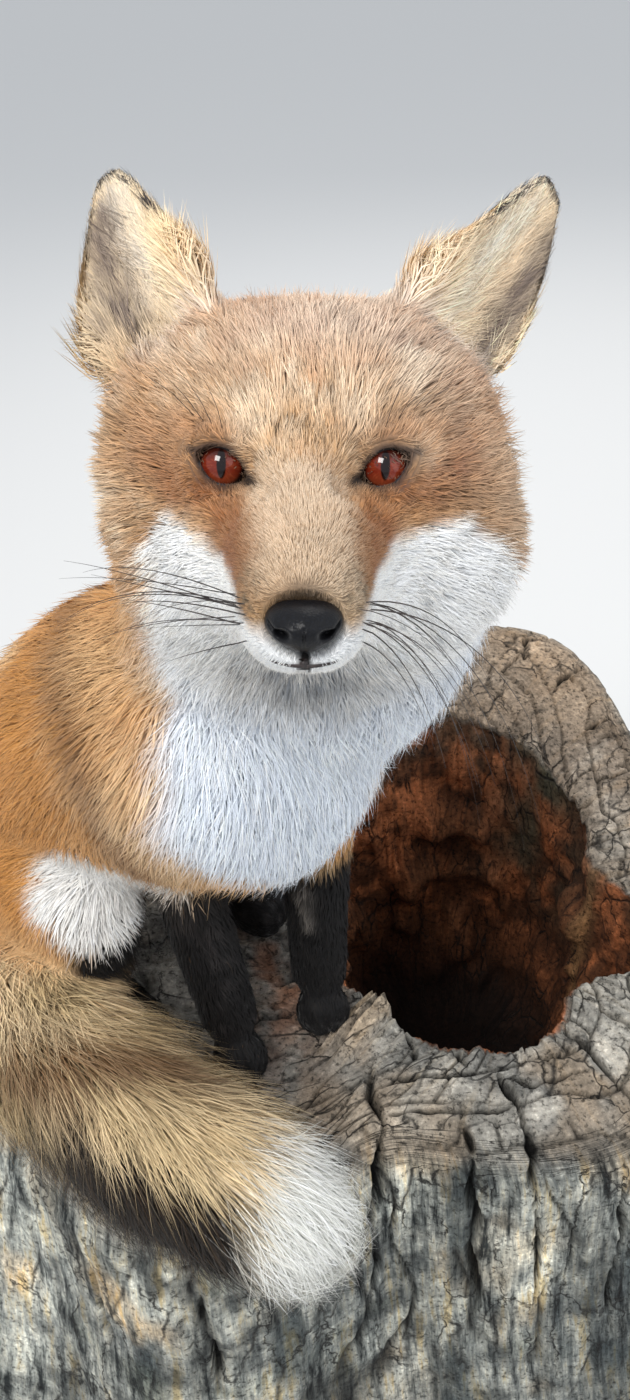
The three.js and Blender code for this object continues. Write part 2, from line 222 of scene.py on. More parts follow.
EARS = {
    "left": {"side": 1, "root": (41, 54, 35), "lean": 40, "back": 22, "turn": 28, "height": 81},
    "right": {"side": -1, "root": (-44, 54, 36), "lean": 24, "back": 24, "turn": 20, "height": 68},
}
for ear in EARS.values():
    ear["axes"] = (HEAD_TURN @ turned(1, ear["side"] * ear["lean"]) @ turned(0, -ear["back"])
                   @ turned(2, ear["side"] * ear["turn"]))
    ear["at"] = head_point(*ear["root"])


def chain(points, place, region, depth, length, lie=None):
    """Bones along a chain, with the coat's depth and length at each point, and the way that it lies."""
    bones = []
    for n in range(len(points) - 1):
        a, b = place(*points[n][:3]), place(*points[n + 1][:3])
        bones.append({
            "a": a, "b": b, "radius": (points[n][3], points[n + 1][3]), "region": region,
            "depth": depth[n:n + 2], "length": length[n:n + 2],
            "lie": unit(b - a) if lie is None else unit(np.array(lie, float)),
        })
    return bones


def pair(name):
    return name + "_left", name + "_right"


REGIONS = ["head", *pair("ear"), "neck", "trunk", *pair("thigh"), *pair("shank"), *pair("foreleg"), "tail"]
BONES = []
BONES += chain([(0, 84, -28, 58), (0, 40, -25, 74), (0, 12, -27, 56)], head_point, "head", (8, 7, 4), (17, 14, 9))
BONES += chain([(0, 12, -27, 50), (0, -12, -30, 34), (0, -40, -34, 22), (0, -74, -36, 15)], head_point, "head",
               (4, 2.4, 1.6, 1.2), (9, 6, 4, 3))
for bone in BONES:
    bone["lie"] = HEAD_TURN @ np.array([0, 1.0, 0])
for name, ear in EARS.items():
    tip = ear["at"] + ear["axes"] @ np.array([0, 0, ear["height"]])
    BONES += chain([(*(ear["at"] + 0.1 * (tip - ear["at"])), 31), (*tip, 9)], lambda *p: np.array(p), "ear_" + name,
                   (1.6, 0.9), (19, 12))
BONES += chain(NECK, seat_point, "neck", (11, 14, 15, 15), (26, 34, 40, 42))
BONES += chain(TRUNK, seat_point, "trunk", (13, 14, 14, 14, 14, 13), (38, 42, 44, 46, 46, 44))
BONES += chain(TAIL, seat_point, "tail", (12, 19, 22, 22, 22, 21, 19, 15), (44, 50, 54, 54, 54, 52, 48, 42))
for name, points in FORELEGS.items():
    BONES += chain(points, seat_point, "foreleg_" + name, (9, 6, 2.4, 1.8, 1.5), (26, 20, 10, 7, 5))
for name, side in (("left", 1), ("right", -1)):
    place = lambda x, y, z, side=side: body_point(x * side, y, z)
    BONES += chain(HIND[:2], place, "thigh_" + name, (12, 9), (34, 26), lie=BODY_AXES @ np.array([0, 0.35, -1]))
    BONES += chain(HIND[1:], place, "shank_" + name, (7, 3, 2, 1.6), (18, 10, 7, 5))
BONE_LIE = np.array([b["lie"] for b in BONES])


def influence(points):
    """The share of each region at each point and of each bone, and the coat's depth and length there."""
    weights, depth, length = [], 0, 0
    for bone in BONES:
        q, ab = points - bone["a"], bone["b"] - bone["a"]
        share = np.clip(q @ ab / (ab @ ab), 0, 1)

        def here(ends):
            return ends[0] + (ends[1] - ends[0]) * share

        w = (np.maximum(norm(q - share[:, None] * ab), 2) / here(bone["radius"])) ** -6
        weights.append(w)
        depth = depth + w * here(bone["depth"])
        length = length + w * here(bone["length"])
    weights = np.stack(weights, axis=1)
    total = weights.sum(1)
    weights = weights / total[:, None]
    where = np.zeros((len(points), len(REGIONS)))
    for n, bone in enumerate(BONES):
        where[:, REGIONS.index(bone["region"])] += weights[:, n]
    return where, weights, depth / total, length / total


def share_of(where, *names):
    """The share that the named regions have in each point."""
    total = 0
    for name in names:
        total = total + where[:, REGIONS.index(name)]
    return total


# ---- The distance field of the flesh, and of the skin inside it ----
VOXEL = 1.6
CLOSE = 0.6  # swell that closes the gaps between the solids
BAND = 26.0  # how far inside the field is known
STRIDE = 4  # fine cells to each cell of the grid on which the coat's depth is worked out
EYE_SLANT, EYE_RADIUS = 24, 8.6
OPENING = {"inner": 9.8, "outer": 8.6, "up": 4.8, "down": 5.6}


def eye_name(side):
    return "eye_left" if side > 0 else "eye_right"


FLESH = [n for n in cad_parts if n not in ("stump", "nose", eye_name(1), eye_name(-1))]


def joined(parts):
    """Meshes as one. A part is its points and its faces."""
    starts = np.cumsum([0] + [len(p) for p, _ in parts])
    return np.concatenate([p for p, _ in parts]), np.concatenate([f + n for (_, f), n in zip(parts, starts)])


def solid_arrays(obj):
    mesh = obj.data
    mesh.calc_loop_triangles()
    co = np.empty(len(mesh.vertices) * 3, np.float32)
    mesh.vertices.foreach_get("co", co)
    tri = np.empty(len(mesh.loop_triangles) * 3, np.int32)
    mesh.loop_triangles.foreach_get("vertices", tri)
    return co.reshape(-1, 3) / MM, tri.reshape(-1, 3)


class Field:
    """A distance field on a regular grid, negative inside."""

    def __init__(self, values, low):
        self.values, self.low = values, np.asarray(low, float)

    def at(self, points):
        v = self.values
        p = np.clip(points / VOXEL - self.low, 0.001, np.array(v.shape) - 1.001)
        b = p.astype(np.int64)
        flat = v.reshape(-1)
        sy, sx = v.shape[2], v.shape[1] * v.shape[2]
        n = b[:, 0] * sx + b[:, 1] * sy + b[:, 2]
        total = 0
        for o, w in cell_corners((p - b).astype(np.float32)):
            total = total + w * flat[n + o[0] * sx + o[1] * sy + o[2]]
        return total

    def gradient(self, points, reach=1.5):
        steps = np.eye(3) * reach
        return unit(np.stack([self.at(points + step) - self.at(points - step) for step in steps], axis=1))

    def settle(self, points, level, steps):
        """Moves points along the field to where it has the stated value."""
        for _ in range(steps):
            points = points + self.gradient(points) * (level - self.at(points))[:, None]
        return points


def blurred(a, sigma):
    reach = int(2.6 * sigma + 0.5)
    kernel = np.exp(-0.5 * (np.arange(-reach, reach + 1) / sigma) ** 2)
    kernel /= kernel.sum()
    for axis in range(3):
        out = np.zeros_like(a)
        for i, w in zip(range(-reach, reach + 1), kernel):
            src, dst = [slice(None)] * 3, [slice(None)] * 3
            if i < 0:
                src[axis], dst[axis] = slice(0, i), slice(-i, None)
            elif i > 0:
                src[axis], dst[axis] = slice(i, None), slice(0, -i)
            out[tuple(dst)] += np.float32(w) * a[tuple(src)]
        a = out
    return a


def flesh_field():
    points, faces = joined([solid_arrays(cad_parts[name]) for name in FLESH])
    transform = vdb.createLinearTransform(voxelSize=VOXEL)
    grid = vdb.FloatGrid.createLevelSetFromPolygons(
        points, triangles=faces.astype(np.uint32), transform=transform, halfWidth=3.0)
    p, t, q = grid.convertToPolygons(isovalue=CLOSE, adaptivity=0.0)
    grid = vdb.FloatGrid.createLevelSetFromPolygons(
        p, triangles=t, quads=q, transform=transform, halfWidth=BAND / VOXEL)
    low = np.floor(p.min(0) / VOXEL).astype(int) - 10
    high = np.ceil(p.max(0) / VOXEL).astype(int) + 10
    values = np.empty(tuple(high - low + 1), np.float32)
    grid.copyToArray(values, ijk=tuple(int(n) for n in low))
    return values + np.float32(CLOSE), low


def block(values, low, centre, reach):
    """The part of a grid round a point, and its places as told from that point."""
    n0 = np.maximum(np.floor((centre - reach) / VOXEL).astype(int) - low, 0)
    n1 = np.minimum(np.ceil((centre + reach) / VOXEL).astype(int) - low, values.shape)
    part = tuple(slice(a, b) for a, b in zip(n0, n1))
    axes = [(np.arange(s) + o + l) * VOXEL for s, o, l in zip(values[part].shape, n0, low)]
    return part, np.stack(np.meshgrid(*axes, indexing="ij"), axis=-1) - centre


def eye_frame(side):
    """Centre, then the axes of the opening: inwards along the slit, up across it, and out along the gaze."""
    low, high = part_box(eye_name(side))
    centre = (np.array(low) + np.array(high)) / 2 / MM
    gaze = unit(np.array(CAMERA["at"]) / MM - centre)
    gaze = unit(gaze + 0.05 * side * HEAD_TURN[:, 0])
    slant = math.radians(EYE_SLANT)
    inwards = HEAD_TURN @ np.array([-side * math.cos(slant), 0, -math.sin(slant)])
    inwards = unit(inwards - gaze * (inwards @ gaze))
    across = np.cross(gaze, inwards)
    return centre, inwards, -across if across @ HEAD_TURN[:, 2] < 0 else across, gaze


EYES = {1: eye_frame(1), -1: eye_frame(-1)}


def from_eyes(points):
    return np.min([norm(points - centre) for centre, *_ in EYES.values()], axis=0)


def opening(a, b):
    """1 on the edge of the lids, less inside. a is along the slit, inwards, and b across it."""
    along = a / np.where(a > 0, OPENING["inner"], OPENING["outer"])
    return np.sqrt(along**2 + (b / lid_reach(along, b)) ** 2)


def lid_reach(along, b):
    """How far the lids stand apart: the upper is highest towards the outer corner, the lower towards the inner."""
    lean = np.where(b > 0, -0.16, 0.10) * np.clip(along, -1, 1)
    reach = np.where(b > 0, OPENING["up"], OPENING["down"]) * (1 - 0.50 * np.clip(along, -1.2, 1.2) ** 2 + lean)
    return np.maximum(reach, 0.8)


def soft_min(a, b, k):
    h = np.clip(0.5 + 0.5 * (b - a) / k, 0, 1)
    return b * (1 - h) + a * h - k * h * (1 - h)


def soft_max(a, b, k):
    return -soft_min(-a, -b, k)


def shape_eyes(values, low, coat=False):
    """Keeps the coat clear of the eyes; in the skin it also fills the orbits and shapes the lids."""
    for centre, inwards, across, gaze in EYES.values():
        part, q = block(values, low, centre, 32)
        a, b, c = q @ inwards, q @ across, q @ gaze
        rho = np.hypot(a, b)
        s = values[part]
        if not coat:
            s = soft_min(s, norm(q - gaze * 0.5) - 12.2, 5)
        # The muzzle's flank rises from the inner corner, the cheek from the lower lid.
        turn = np.maximum(rho, 1)
        slope = 0.42 + 1.2 * smooth(0.2, 1, a / turn) + 0.45 * smooth(0.2, 1, -b / turn)
        limit = 9.4 + slope * np.maximum(rho - 8, 0) + 40 * smooth(16, 27, rho) + (1.3 if coat else 0)
        s = soft_max(s, (c - limit) / np.sqrt(1 + slope**2), 2.5)
        if not coat:
            s = soft_min(s, norm(q) - 10.2, 1.2)
            s = np.where(c > 2, np.maximum(s, 5 * (1.03 - opening(a, b))), s)
        values[part] = s
    return values


def part_toes(values, low):
    """Grooves between the toes of the four paws."""
    paws = [(seat_point(*leg[3][:3]), seat_point(*leg[4][:3])) for leg in FORELEGS.values()]
    paws += [[body_point(x * side, y, z) for x, y, z, _ in HIND[3:]] for side in (1, -1)]
    for back, front in paws:
        forward = unit((front - back) * [1, 1, 0])
        lateral = np.array([forward[1], -forward[0], 0])
        part, q = block(values, low, front, 34)
        u, v = q @ lateral, q @ forward
        groove = np.min([np.abs(u - at * (1 + 0.012 * v)) for at in (-8.5, 0, 8.5)], axis=0)
        deep = 2.6 * bell(groove, 0, 1.7) * smooth(-6, 6, v) * smooth(24, 16, np.abs(u))
        values[part] += deep.astype(np.float32)


def skin_field():
    values, low = flesh_field()
    part_toes(values, low)
    soft, fine = blurred(values, 4.5 / VOXEL), blurred(values, 1.5 / VOXEL)
    axes = [(np.arange(0, s + STRIDE, STRIDE) + l) * VOXEL for s, l in zip(values.shape, low)]
    points = np.stack(np.meshgrid(*axes, indexing="ij"), axis=-1).reshape(-1, 3)
    where, _, depth, _ = influence(points)
    head, ears, tail = share_of(where, "head"), share_of(where, *pair("ear")), share_of(where, "tail")
    keep = share_of(where, "head", *pair("ear")) + smooth(70, 20, points[:, 2] - SEAT[2]) * (1 - tail)
    x, y, z = head_local(points).T
    cheek = smooth(40, 66, np.abs(x)) * smooth(20, -30, z) * smooth(0, 30, y)
    depth = (depth + head * 5 * cheek) * (0.2 + 0.8 * smooth(10, 38, from_eyes(points)))

    def spread(coarse):
        """The coarse grid's values, drawn out smoothly to the fine grid."""
        coarse = coarse.reshape([len(a) for a in axes]).astype(np.float32)
        for axis in range(3):
            at = np.arange(values.shape[axis]) / STRIDE
            start = np.minimum(at.astype(int), coarse.shape[axis] - 2)
            f = (at - start).astype(np.float32).reshape([-1 if n == axis else 1 for n in range(3)])
            coarse = np.take(coarse, start, axis) * (1 - f) + np.take(coarse, start + 1, axis) * f
        return coarse

    ears, keep = spread(np.clip(ears, 0, 1)), spread(np.clip(keep, 0, 1))
    fine = fine + (values - 0.4 - fine) * ears
    coat = soft * (1 - keep) + fine * keep
    skin = coat + spread(depth)
    coat = shape_eyes(coat, low, coat=True)
    skin = shape_eyes(skin, low)
    return Field(np.minimum(coat, skin - 1.2), low), Field(skin, low)


COAT, SKIN = skin_field()


# ---- Meshes and materials ----
def mesh_object(name, points, faces, colours, normals=None, uvs=None, extra=None):
    """An object from millimetre points and an array of triangles."""
    mesh = bpy.data.meshes.new(name)
    mesh.vertices.add(len(points))
    mesh.vertices.foreach_set("co", (np.asarray(points, np.float32) * MM).ravel())
    mesh.loops.add(faces.size)
    mesh.loops.foreach_set("vertex_index", faces.astype(np.int32).ravel())
    mesh.polygons.add(len(faces))
    mesh.polygons.foreach_set("loop_start", np.arange(0, faces.size, 3, dtype=np.int32))
    mesh.update(calc_edges=True)
    mesh.shade_smooth()
    if colours is not None:
        rgba = np.ones((len(points), 4), np.float32)
        rgba[:, :3] = np.clip(colours, 0, 1)
        mesh.color_attributes.new("Tint", "FLOAT_COLOR", "POINT").data.foreach_set("color", rgba.ravel())
    for key, values in (extra or {}).items():
        mesh.attributes.new(key, "FLOAT", "POINT").data.foreach_set("value", np.asarray(values, np.float32))
    if uvs is not None:
        layer = mesh.uv_layers.new(name="OFBake")
        layer.data.foreach_set("uv", np.asarray(uvs, np.float32)[faces.ravel()].ravel())
    if normals is not None:
        mesh.normals_split_custom_set_from_vertices(np.asarray(normals, np.float32))
    return added(name, mesh)


def grid_faces(rows, columns, closed=True):
    """Triangles through a grid of points, row after row; closed joins each row's ends."""
    i, j = np.meshgrid(np.arange(rows - 1), np.arange(columns if closed else columns - 1), indexing="ij")
    k = (j + 1) % columns
    a, b, c, d = i * columns + j, i * columns + k, (i + 1) * columns + k, (i + 1) * columns + j
    return np.concatenate([np.stack([a, b, c], -1).reshape(-1, 3), np.stack([a, c, d], -1).reshape(-1, 3)])


def corners(points, faces):
    return [points[faces[:, n]] for n in range(3)]


def facing(points, faces, ways=None, every=1):
    """The faces, turned over if they look against the ways given, or into the skin."""
    a, b, c = corners(points, faces[::every])
    if ways is None:
        ways = SKIN.gradient((a + b + c) / 3)
    return faces[:, ::-1] if dot(np.cross(b - a, c - a), ways).mean() < 0 else faces


def grey(v):
    return (v, v, v)


class Shader:
    """A node material round one Principled shader, whose inputs are named with _ for a space."""

    def __init__(self, name, **values):
        self.material = bpy.data.materials.new(name)
        self.material.use_nodes = True
        self.tree = self.material.node_tree
        self.surface = self.tree.nodes["Principled BSDF"]
        for key, value in values.items():
            self.surface.inputs[key.replace("_", " ")].default_value = value

    def node(self, kind, inputs, **settings):
        node = self.tree.nodes.new("ShaderNode" + kind)
        for key, value in settings.items():
            setattr(node, key, value)
        for key, value in inputs.items():
            self.feed(node.inputs[key], value)
        return node

    def feed(self, socket, value):
        if isinstance(value, bpy.types.NodeSocket):
            self.tree.links.new(value, socket)
        else:
            socket.default_value = value

    def base(self, colour):
        self.feed(self.surface.inputs["Base Color"], colour)

    def attribute(self, name, output="Fac"):
        return self.node("Attribute", {}, attribute_name=name).outputs[output]

    def tint(self):
        return self.attribute("Tint", "Color")

    def math(self, operation, *values, clamp=False):
        return self.node("Math", dict(enumerate(values)), operation=operation, use_clamp=clamp).outputs[0]

    def times(self, a, b):
        return self.math("MULTIPLY", a, b)

    def mix(self, share, a, b, mode="MIX"):
        return self.node("Mix", {"Factor": share, 6: a, 7: b}, data_type="RGBA", blend_type=mode).outputs[2]

    def between(self, share, a, b):
        return self.node("Mix", {"Factor": share, 2: a, 3: b}, data_type="FLOAT").outputs[0]

    def at(self, x, y):
        return self.node("CombineXYZ", {"X": x, "Y": y}).outputs[0]

    def first(self, colour):
        return self.node("SeparateColor", {"Color": colour}).outputs[0]

    def place(self):
        return self.node("TexCoord", {}).outputs["Object"]

    def ramp(self, value, *stops):
        node = self.node("ValToRGB", {"Fac": value})
        while len(node.color_ramp.elements) < len(stops):
            node.color_ramp.elements.new(0.5)
        for element, (place, colour) in zip(node.color_ramp.elements, stops):
            element.position, element.color = place, (*colour, 1)
        return node.outputs[0]

    def noise(self, scale, detail, roughness=0.55, at=None):
        return self.node("TexNoise", {"Vector": at or self.place(), "Scale": scale, "Detail": detail,
                                      "Roughness": roughness}).outputs["Fac"]

    def bump(self, height, distance, strength):
        node = self.node("Bump", {"Height": height, "Distance": distance, "Strength": strength})
        self.feed(self.surface.inputs["Normal"], node.outputs[0])


def finish(obj, material, slot):
    obj.data.materials.append(material)
    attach(obj, "root")


# ---- Markings: one colour for each place on the fox, for its skin and its coat alike ----
RUST, RUST_DARK, RUST_PALE = srgb(194, 132, 57), srgb(140, 88, 34), srgb(230, 200, 154)
FAWN, FAWN_PALE, UMBER = srgb(189, 149, 105), srgb(226, 203, 173), srgb(144, 86, 42)
WHITE, CHEEK_WHITE = srgb(226, 234, 245), srgb(250, 252, 253)
BLACK, SOOT = srgb(17, 16, 17), srgb(36, 33, 33)
CREAM, STRAW, STRAW_DARK = srgb(242, 218, 178), srgb(198, 173, 127), srgb(84, 62, 40)
MAUVE = srgb(104, 89, 83)


def body_tones(s, up, where, patchy, fine, broad):
    x, y, z = s.T
    neck, trunk, tail = (share_of(where, name) for name in ("neck", "trunk", "tail"))
    hind, legs = share_of(where, *pair("shank")), share_of(where, *pair("foreleg"))
    shoulder = bell(x, -36, 24, y, -6, 40, z, 214, 34)
    # The fold behind the shoulder is painted darker: painted shade in the crease.
    fold = bell(x + 62 + 0.25 * (z - 230), 0, 13) * smooth(330, 260, z) * smooth(150, 190, z) * (1 - tail)
    # The bib runs from the throat down the chest, and the belly is pale too.
    off = np.abs((np.degrees(np.arctan2(y - 8, x - 8)) + 62 + 180) % 360 - 180)
    half = 24 + 40 * smooth(172, 232, z) + 12 * smooth(300, 345, z) + 7 * patchy + 4 * fine
    before_nape = smooth(0.5, 0.2, neck * smooth(20, 60, y))
    bib = smooth(half + 14, half - 8, off + 7 * fine) * smooth(158, 178, z + 5 * fine) * (1 - legs)
    border = smooth(half + 42, half + 4, off) * (1 - legs) * (1 - tail) * smooth(180, 222, z)
    belly = smooth(-0.45, -0.8, up) * trunk * smooth(60, 120, z)
    # Black stockings, higher on the right foreleg, with grey hairs on the left one.
    high = np.where(x > -8, 142, 160)
    stocking = legs * smooth(high, high - 24, z + 6 * fine) + hind * smooth(96, 70, z + 4 * fine)
    streak = bell(x, 18, 5, z, 106, 22) * legs
    # The right hind leg is black below its creamy white knee.
    below = smooth(122, 108, z + 6 * fine) * smooth(-112, -98, x) * smooth(60, 30, y) * (1 - tail) * (x < -40)
    knee = norm((s - [-77, -3, 146]) / [40, 40, 35]) + 0.10 * fine
    return paint(
        RUST,
        (RUST_DARK, smooth(0.1, 0.9, patchy + 0.25 * fine) * 0.5),
        (RUST_PALE, smooth(0.1, 0.7, -patchy) * 0.55),
        (RUST_PALE, smooth(-0.1, 0.5, broad) * 0.5),
        (srgb(236, 214, 180), shoulder * 0.9),
        # painted shade in the fold behind the shoulder
        (RUST_DARK * 0.75, fold * 0.8),
        (srgb(232, 206, 166), border * (0.45 + 0.35 * fine) * before_nape),
        (WHITE, bib * (1 - tail) * before_nape),
        (FAWN_PALE, belly * 0.6),
        (paint(BLACK, (SOOT, smooth(0.2, 0.9, fine + patchy))), np.clip(stocking, 0, 1)),
        (srgb(118, 112, 106), streak * smooth(-0.4, 0.4, fine) * 0.8),
        (BLACK, below),
        (srgb(236, 234, 230), smooth(1.16, 0.90, knee) * (1 - tail) * (1 - legs)))


def tail_tones(points, s, patchy, fine):
    """Straw and cream, brown along the fold and black beneath the front length, with a white tip."""
    x, y, z = s.T
    wisps = smooth(0.15, 0.7, fractal(points, np.array([9, 9, 22]), 14, 3))
    fold = bell(y, -57, 16) * smooth(-12, -40, x) * smooth(60, 82, z)
    fold = fold + 0.7 * smooth(0.1, 0.6, patchy + 0.5 * fine) * smooth(-60, -90, x) * smooth(-20, -50, y) \
        * smooth(60, 84, z)
    middle = bell(y, -96, 20) * smooth(-140, -105, x) * smooth(-8, -40, x)
    under = smooth(6, -4, z - (78 - 0.20 * (x + 105)) + 6 * fine + 10 * smooth(-100, -125, x))
    under = under * smooth(-14, -26, x + 4 * fine) * smooth(-70, -88, y + 0.35 * (x + 105))
    tip = x + 15 - 0.41 * (y + 130) + 6 * fine
    return paint(
        STRAW,
        (CREAM, smooth(-0.3, 0.5, patchy) * 0.7),
        (STRAW_DARK, wisps * 0.6),
        (srgb(110, 74, 42), np.clip(fold, 0, 1) * 0.9),
        (srgb(236, 210, 164), middle * 0.6),
        (srgb(196, 146, 92), smooth(-30, 10, y) * smooth(0.0, 0.5, patchy) * 0.5),
        (srgb(20, 17, 20), under * 0.98),
        (RUST_PALE, smooth(90, 150, y) * 0.7),
        (srgb(238, 238, 232), smooth(-14, 9, tip) * smooth(0, -30, y)))


def face_tones(points, x, y, z, patchy, fine):
    side = np.abs(x)
    # Red-brown from the inner corner of each eye down the muzzle, and under, beside and over the eye.
    line = bell(side - (23 - 0.10 * (-y - 16)), 0, 6) * smooth(-4, -20, y) * smooth(-66, -50, y) * smooth(-36, -24, z)
    beneath = bell(side, 34, 13, z, -7, 8) * smooth(20, 0, y)
    brown = line + beneath + bell(side, 48, 9, z, 2, 9) * 0.7 + bell(side, 33, 12, z, 12, 5) * 0.5
    # White muzzle sides, lips, chin, cheeks and throat.
    edge = -16 - 0.30 * np.maximum(-y, 0) - 0.75 * np.maximum(y, 0) + 2.2 * fine
    tan_cheek = smooth(48, 60, -x + 6 * fine) * smooth(-92, -70, z) * smooth(-2, 12, y)
    speck = smooth(-0.1, 0.5, noise(points, 1.7, 16))
    philtrum = smooth(2.2, 1.4, side) * smooth(-38, -41, z) * smooth(-48.5, -47, z) * (y < -60)
    face = paint(
        FAWN,
        (FAWN_PALE, smooth(-0.2, 0.6, patchy + 0.7 * fine) * 0.6),
        (srgb(166, 116, 70), smooth(0.0, 0.6, -patchy - 0.7 * fine) * 0.5),
        (RUST, smooth(36, 64, side) * smooth(-10, 20, z) * 0.35),
        (srgb(188, 128, 74), smooth(14, 50, y) * smooth(0, 30, z) * 0.55),
        (srgb(208, 180, 150), smooth(20, 10, side) * smooth(-12, -32, y) * smooth(-34, -20, z) * 0.85),
        (UMBER, np.clip(np.clip(brown, 0, 1) * (0.8 + 0.5 * fine), 0, 0.95)),
        (FAWN_PALE, bell(side, 16, 6, z, 17, 8) * 0.6),
        (CHEEK_WHITE, smooth(3.5, -3.5, z - edge) * (1 - tan_cheek)),
        (RUST, tan_cheek * smooth(-20, -40, z) * 0.5),
        (srgb(104, 96, 78), bell(side, 15, 6, z, -27, 7.5, y, -62, 12) * (0.25 + 0.65 * speck)),
        (srgb(88, 68, 54), bell(side, 0, 5, z, -25, 3.5) * smooth(-64, -72, y) * 0.85),
        (srgb(176, 150, 122), bell(side, 0, 8, z, -52, 3) * smooth(-40, -60, y) * 0.5),
        (BLACK * 0.5, philtrum),
        (RUST, smooth(60, 84, y) * smooth(-50, -20, z) * 0.8))
    for centre, inwards, across, _ in EYES.values():
        q = points - centre
        a, b, away = q @ inwards, q @ across, norm(q)
        lids = smooth(1.6, 1.15, opening(a, b)) * smooth(26, 16, away)
        corner = bell(a, 10.8, 3.0, b, -0.6, 2.0) + 0.45 * bell(a, -11, 3.0, b, 0.6, 1.2)
        face = paint(face, (srgb(66, 44, 34), lids * 0.8),
                     (BLACK, np.clip(corner, 0, 1) * smooth(26, 18, away) * 0.95))
    return face


def ear_tones(points, normals, ear, painted_light_cream, ridge, hollow_at, hollow_size, fine):
    """Cream in front with a grey hollow, black behind and along the edge at the tip."""
    q = (points - ear["at"]) @ ear["axes"]
    n = normals @ ear["axes"]
    up = q[:, 2] / ear["height"]
    back, inner, medial = n[:, 1], -q[:, 0] * ear["side"], -n[:, 0] * ear["side"]
    hairs = noise(xyz(q[:, 0], q[:, 1], q[:, 2] * 0.2), 2.2, 17)
    white = bell(inner, ridge, 7) * smooth(1.0, 0.8, up) * smooth(0.0, 0.2, up) * smooth(0.2, -0.2, back)
    hollow = bell(inner, -hollow_at, hollow_size) * smooth(0.95, 0.75, up) * smooth(-0.1, 0.08, up) \
        * smooth(0.1, -0.3, back)
    dark = smooth(0.3, 0.75, back) * smooth(0.36, 0.66, up + 0.1 * fine)
    rim = smooth(0.35, 0.75, medial) * smooth(0.42, 0.6, up + 0.06 * fine) + smooth(0.9, 0.97, up + 0.03 * fine)
    outer = smooth(-0.6, -0.9, medial) * smooth(0.4, 0.6, up) * (0.6 + 0.5 * fractal(points, 12, 18, 2))
    return paint(
        CREAM,
        (FAWN, smooth(0.2, -0.3, up) * 0.8),
        (srgb(228, 186, 134), smooth(-0.2, 0.7, fine) * 0.3 + 0.35 * smooth(12, 24, inner)),
        # a lighter cream over the front is painted light, stronger on the left ear, which the lamps light less
        (srgb(255, 228, 194), painted_light_cream),
        (srgb(240, 234, 222), white * (0.55 + 0.4 * hairs)),
        (MAUVE, np.clip(hollow * (0.85 + 0.35 * hairs), 0, 0.95)),
        (srgb(40, 36, 42), np.clip(dark + rim * 0.9 + outer * 0.8, 0, 1)))


def markings(points, normals, where):
    """The colour of the coat at points on the skin, from their place in the regions."""
    where = where**2
    where = where / where.sum(1, keepdims=True)
    s = points - SEAT
    x, y, z = head_local(points).T
    patchy, fine, broad = fractal(points, 26, 11, 3), fractal(points, 7, 12, 2), fractal(points, 70, 15, 2)
    # Under the chin the white is painted grey: painted shade beneath the jaw.
    chin_shade = bell(x, 0, 40, z, -80, 21, y, 10, 55) * (1 - share_of(where, *pair("foreleg")))

    def over(base, tones, region):
        share = share_of(where, region)[:, None]
        return base * (1 - share) + tones * share

    colour = body_tones(s, normals[:, 2], where, patchy, fine, broad)
    colour = over(colour, tail_tones(points, s, patchy, fine), "tail")
    colour = over(colour, face_tones(points, x, y, z, patchy, fine), "head")
    # painted shade under the chin
    colour = paint(colour, (srgb(98, 104, 112), chin_shade * (0.85 + 0.4 * fine)))
    # The left ear's front takes more painted light than the right's.
    colour = over(colour, ear_tones(points, normals, EARS["left"], 0.5, 8, 12, 8, fine), "ear_left")
    colour = over(colour, ear_tones(points, normals, EARS["right"], 0.2, 3, 8, 11.5, fine), "ear_right")
    return np.clip(colour, 0, 1)


# ---- Skin ----
def surface_depth(centre, across_1, across_2, gaze, a, b):
    """How far out along the gaze the skin lies, at each place across it."""
    start, steps = 22.0, 44
    c = np.full(a.shape, start)
    base = centre + a[..., None] * across_1 + b[..., None] * across_2
    done = np.zeros(a.shape, bool)
    for _ in range(steps):
        value = SKIN.at((base + c[..., None] * gaze).reshape(-1, 3)).reshape(a.shape)
        done |= value < 0.15
        c = np.where(done, c, c - np.clip(value * 0.7, 0.1, 1.0))
    return c


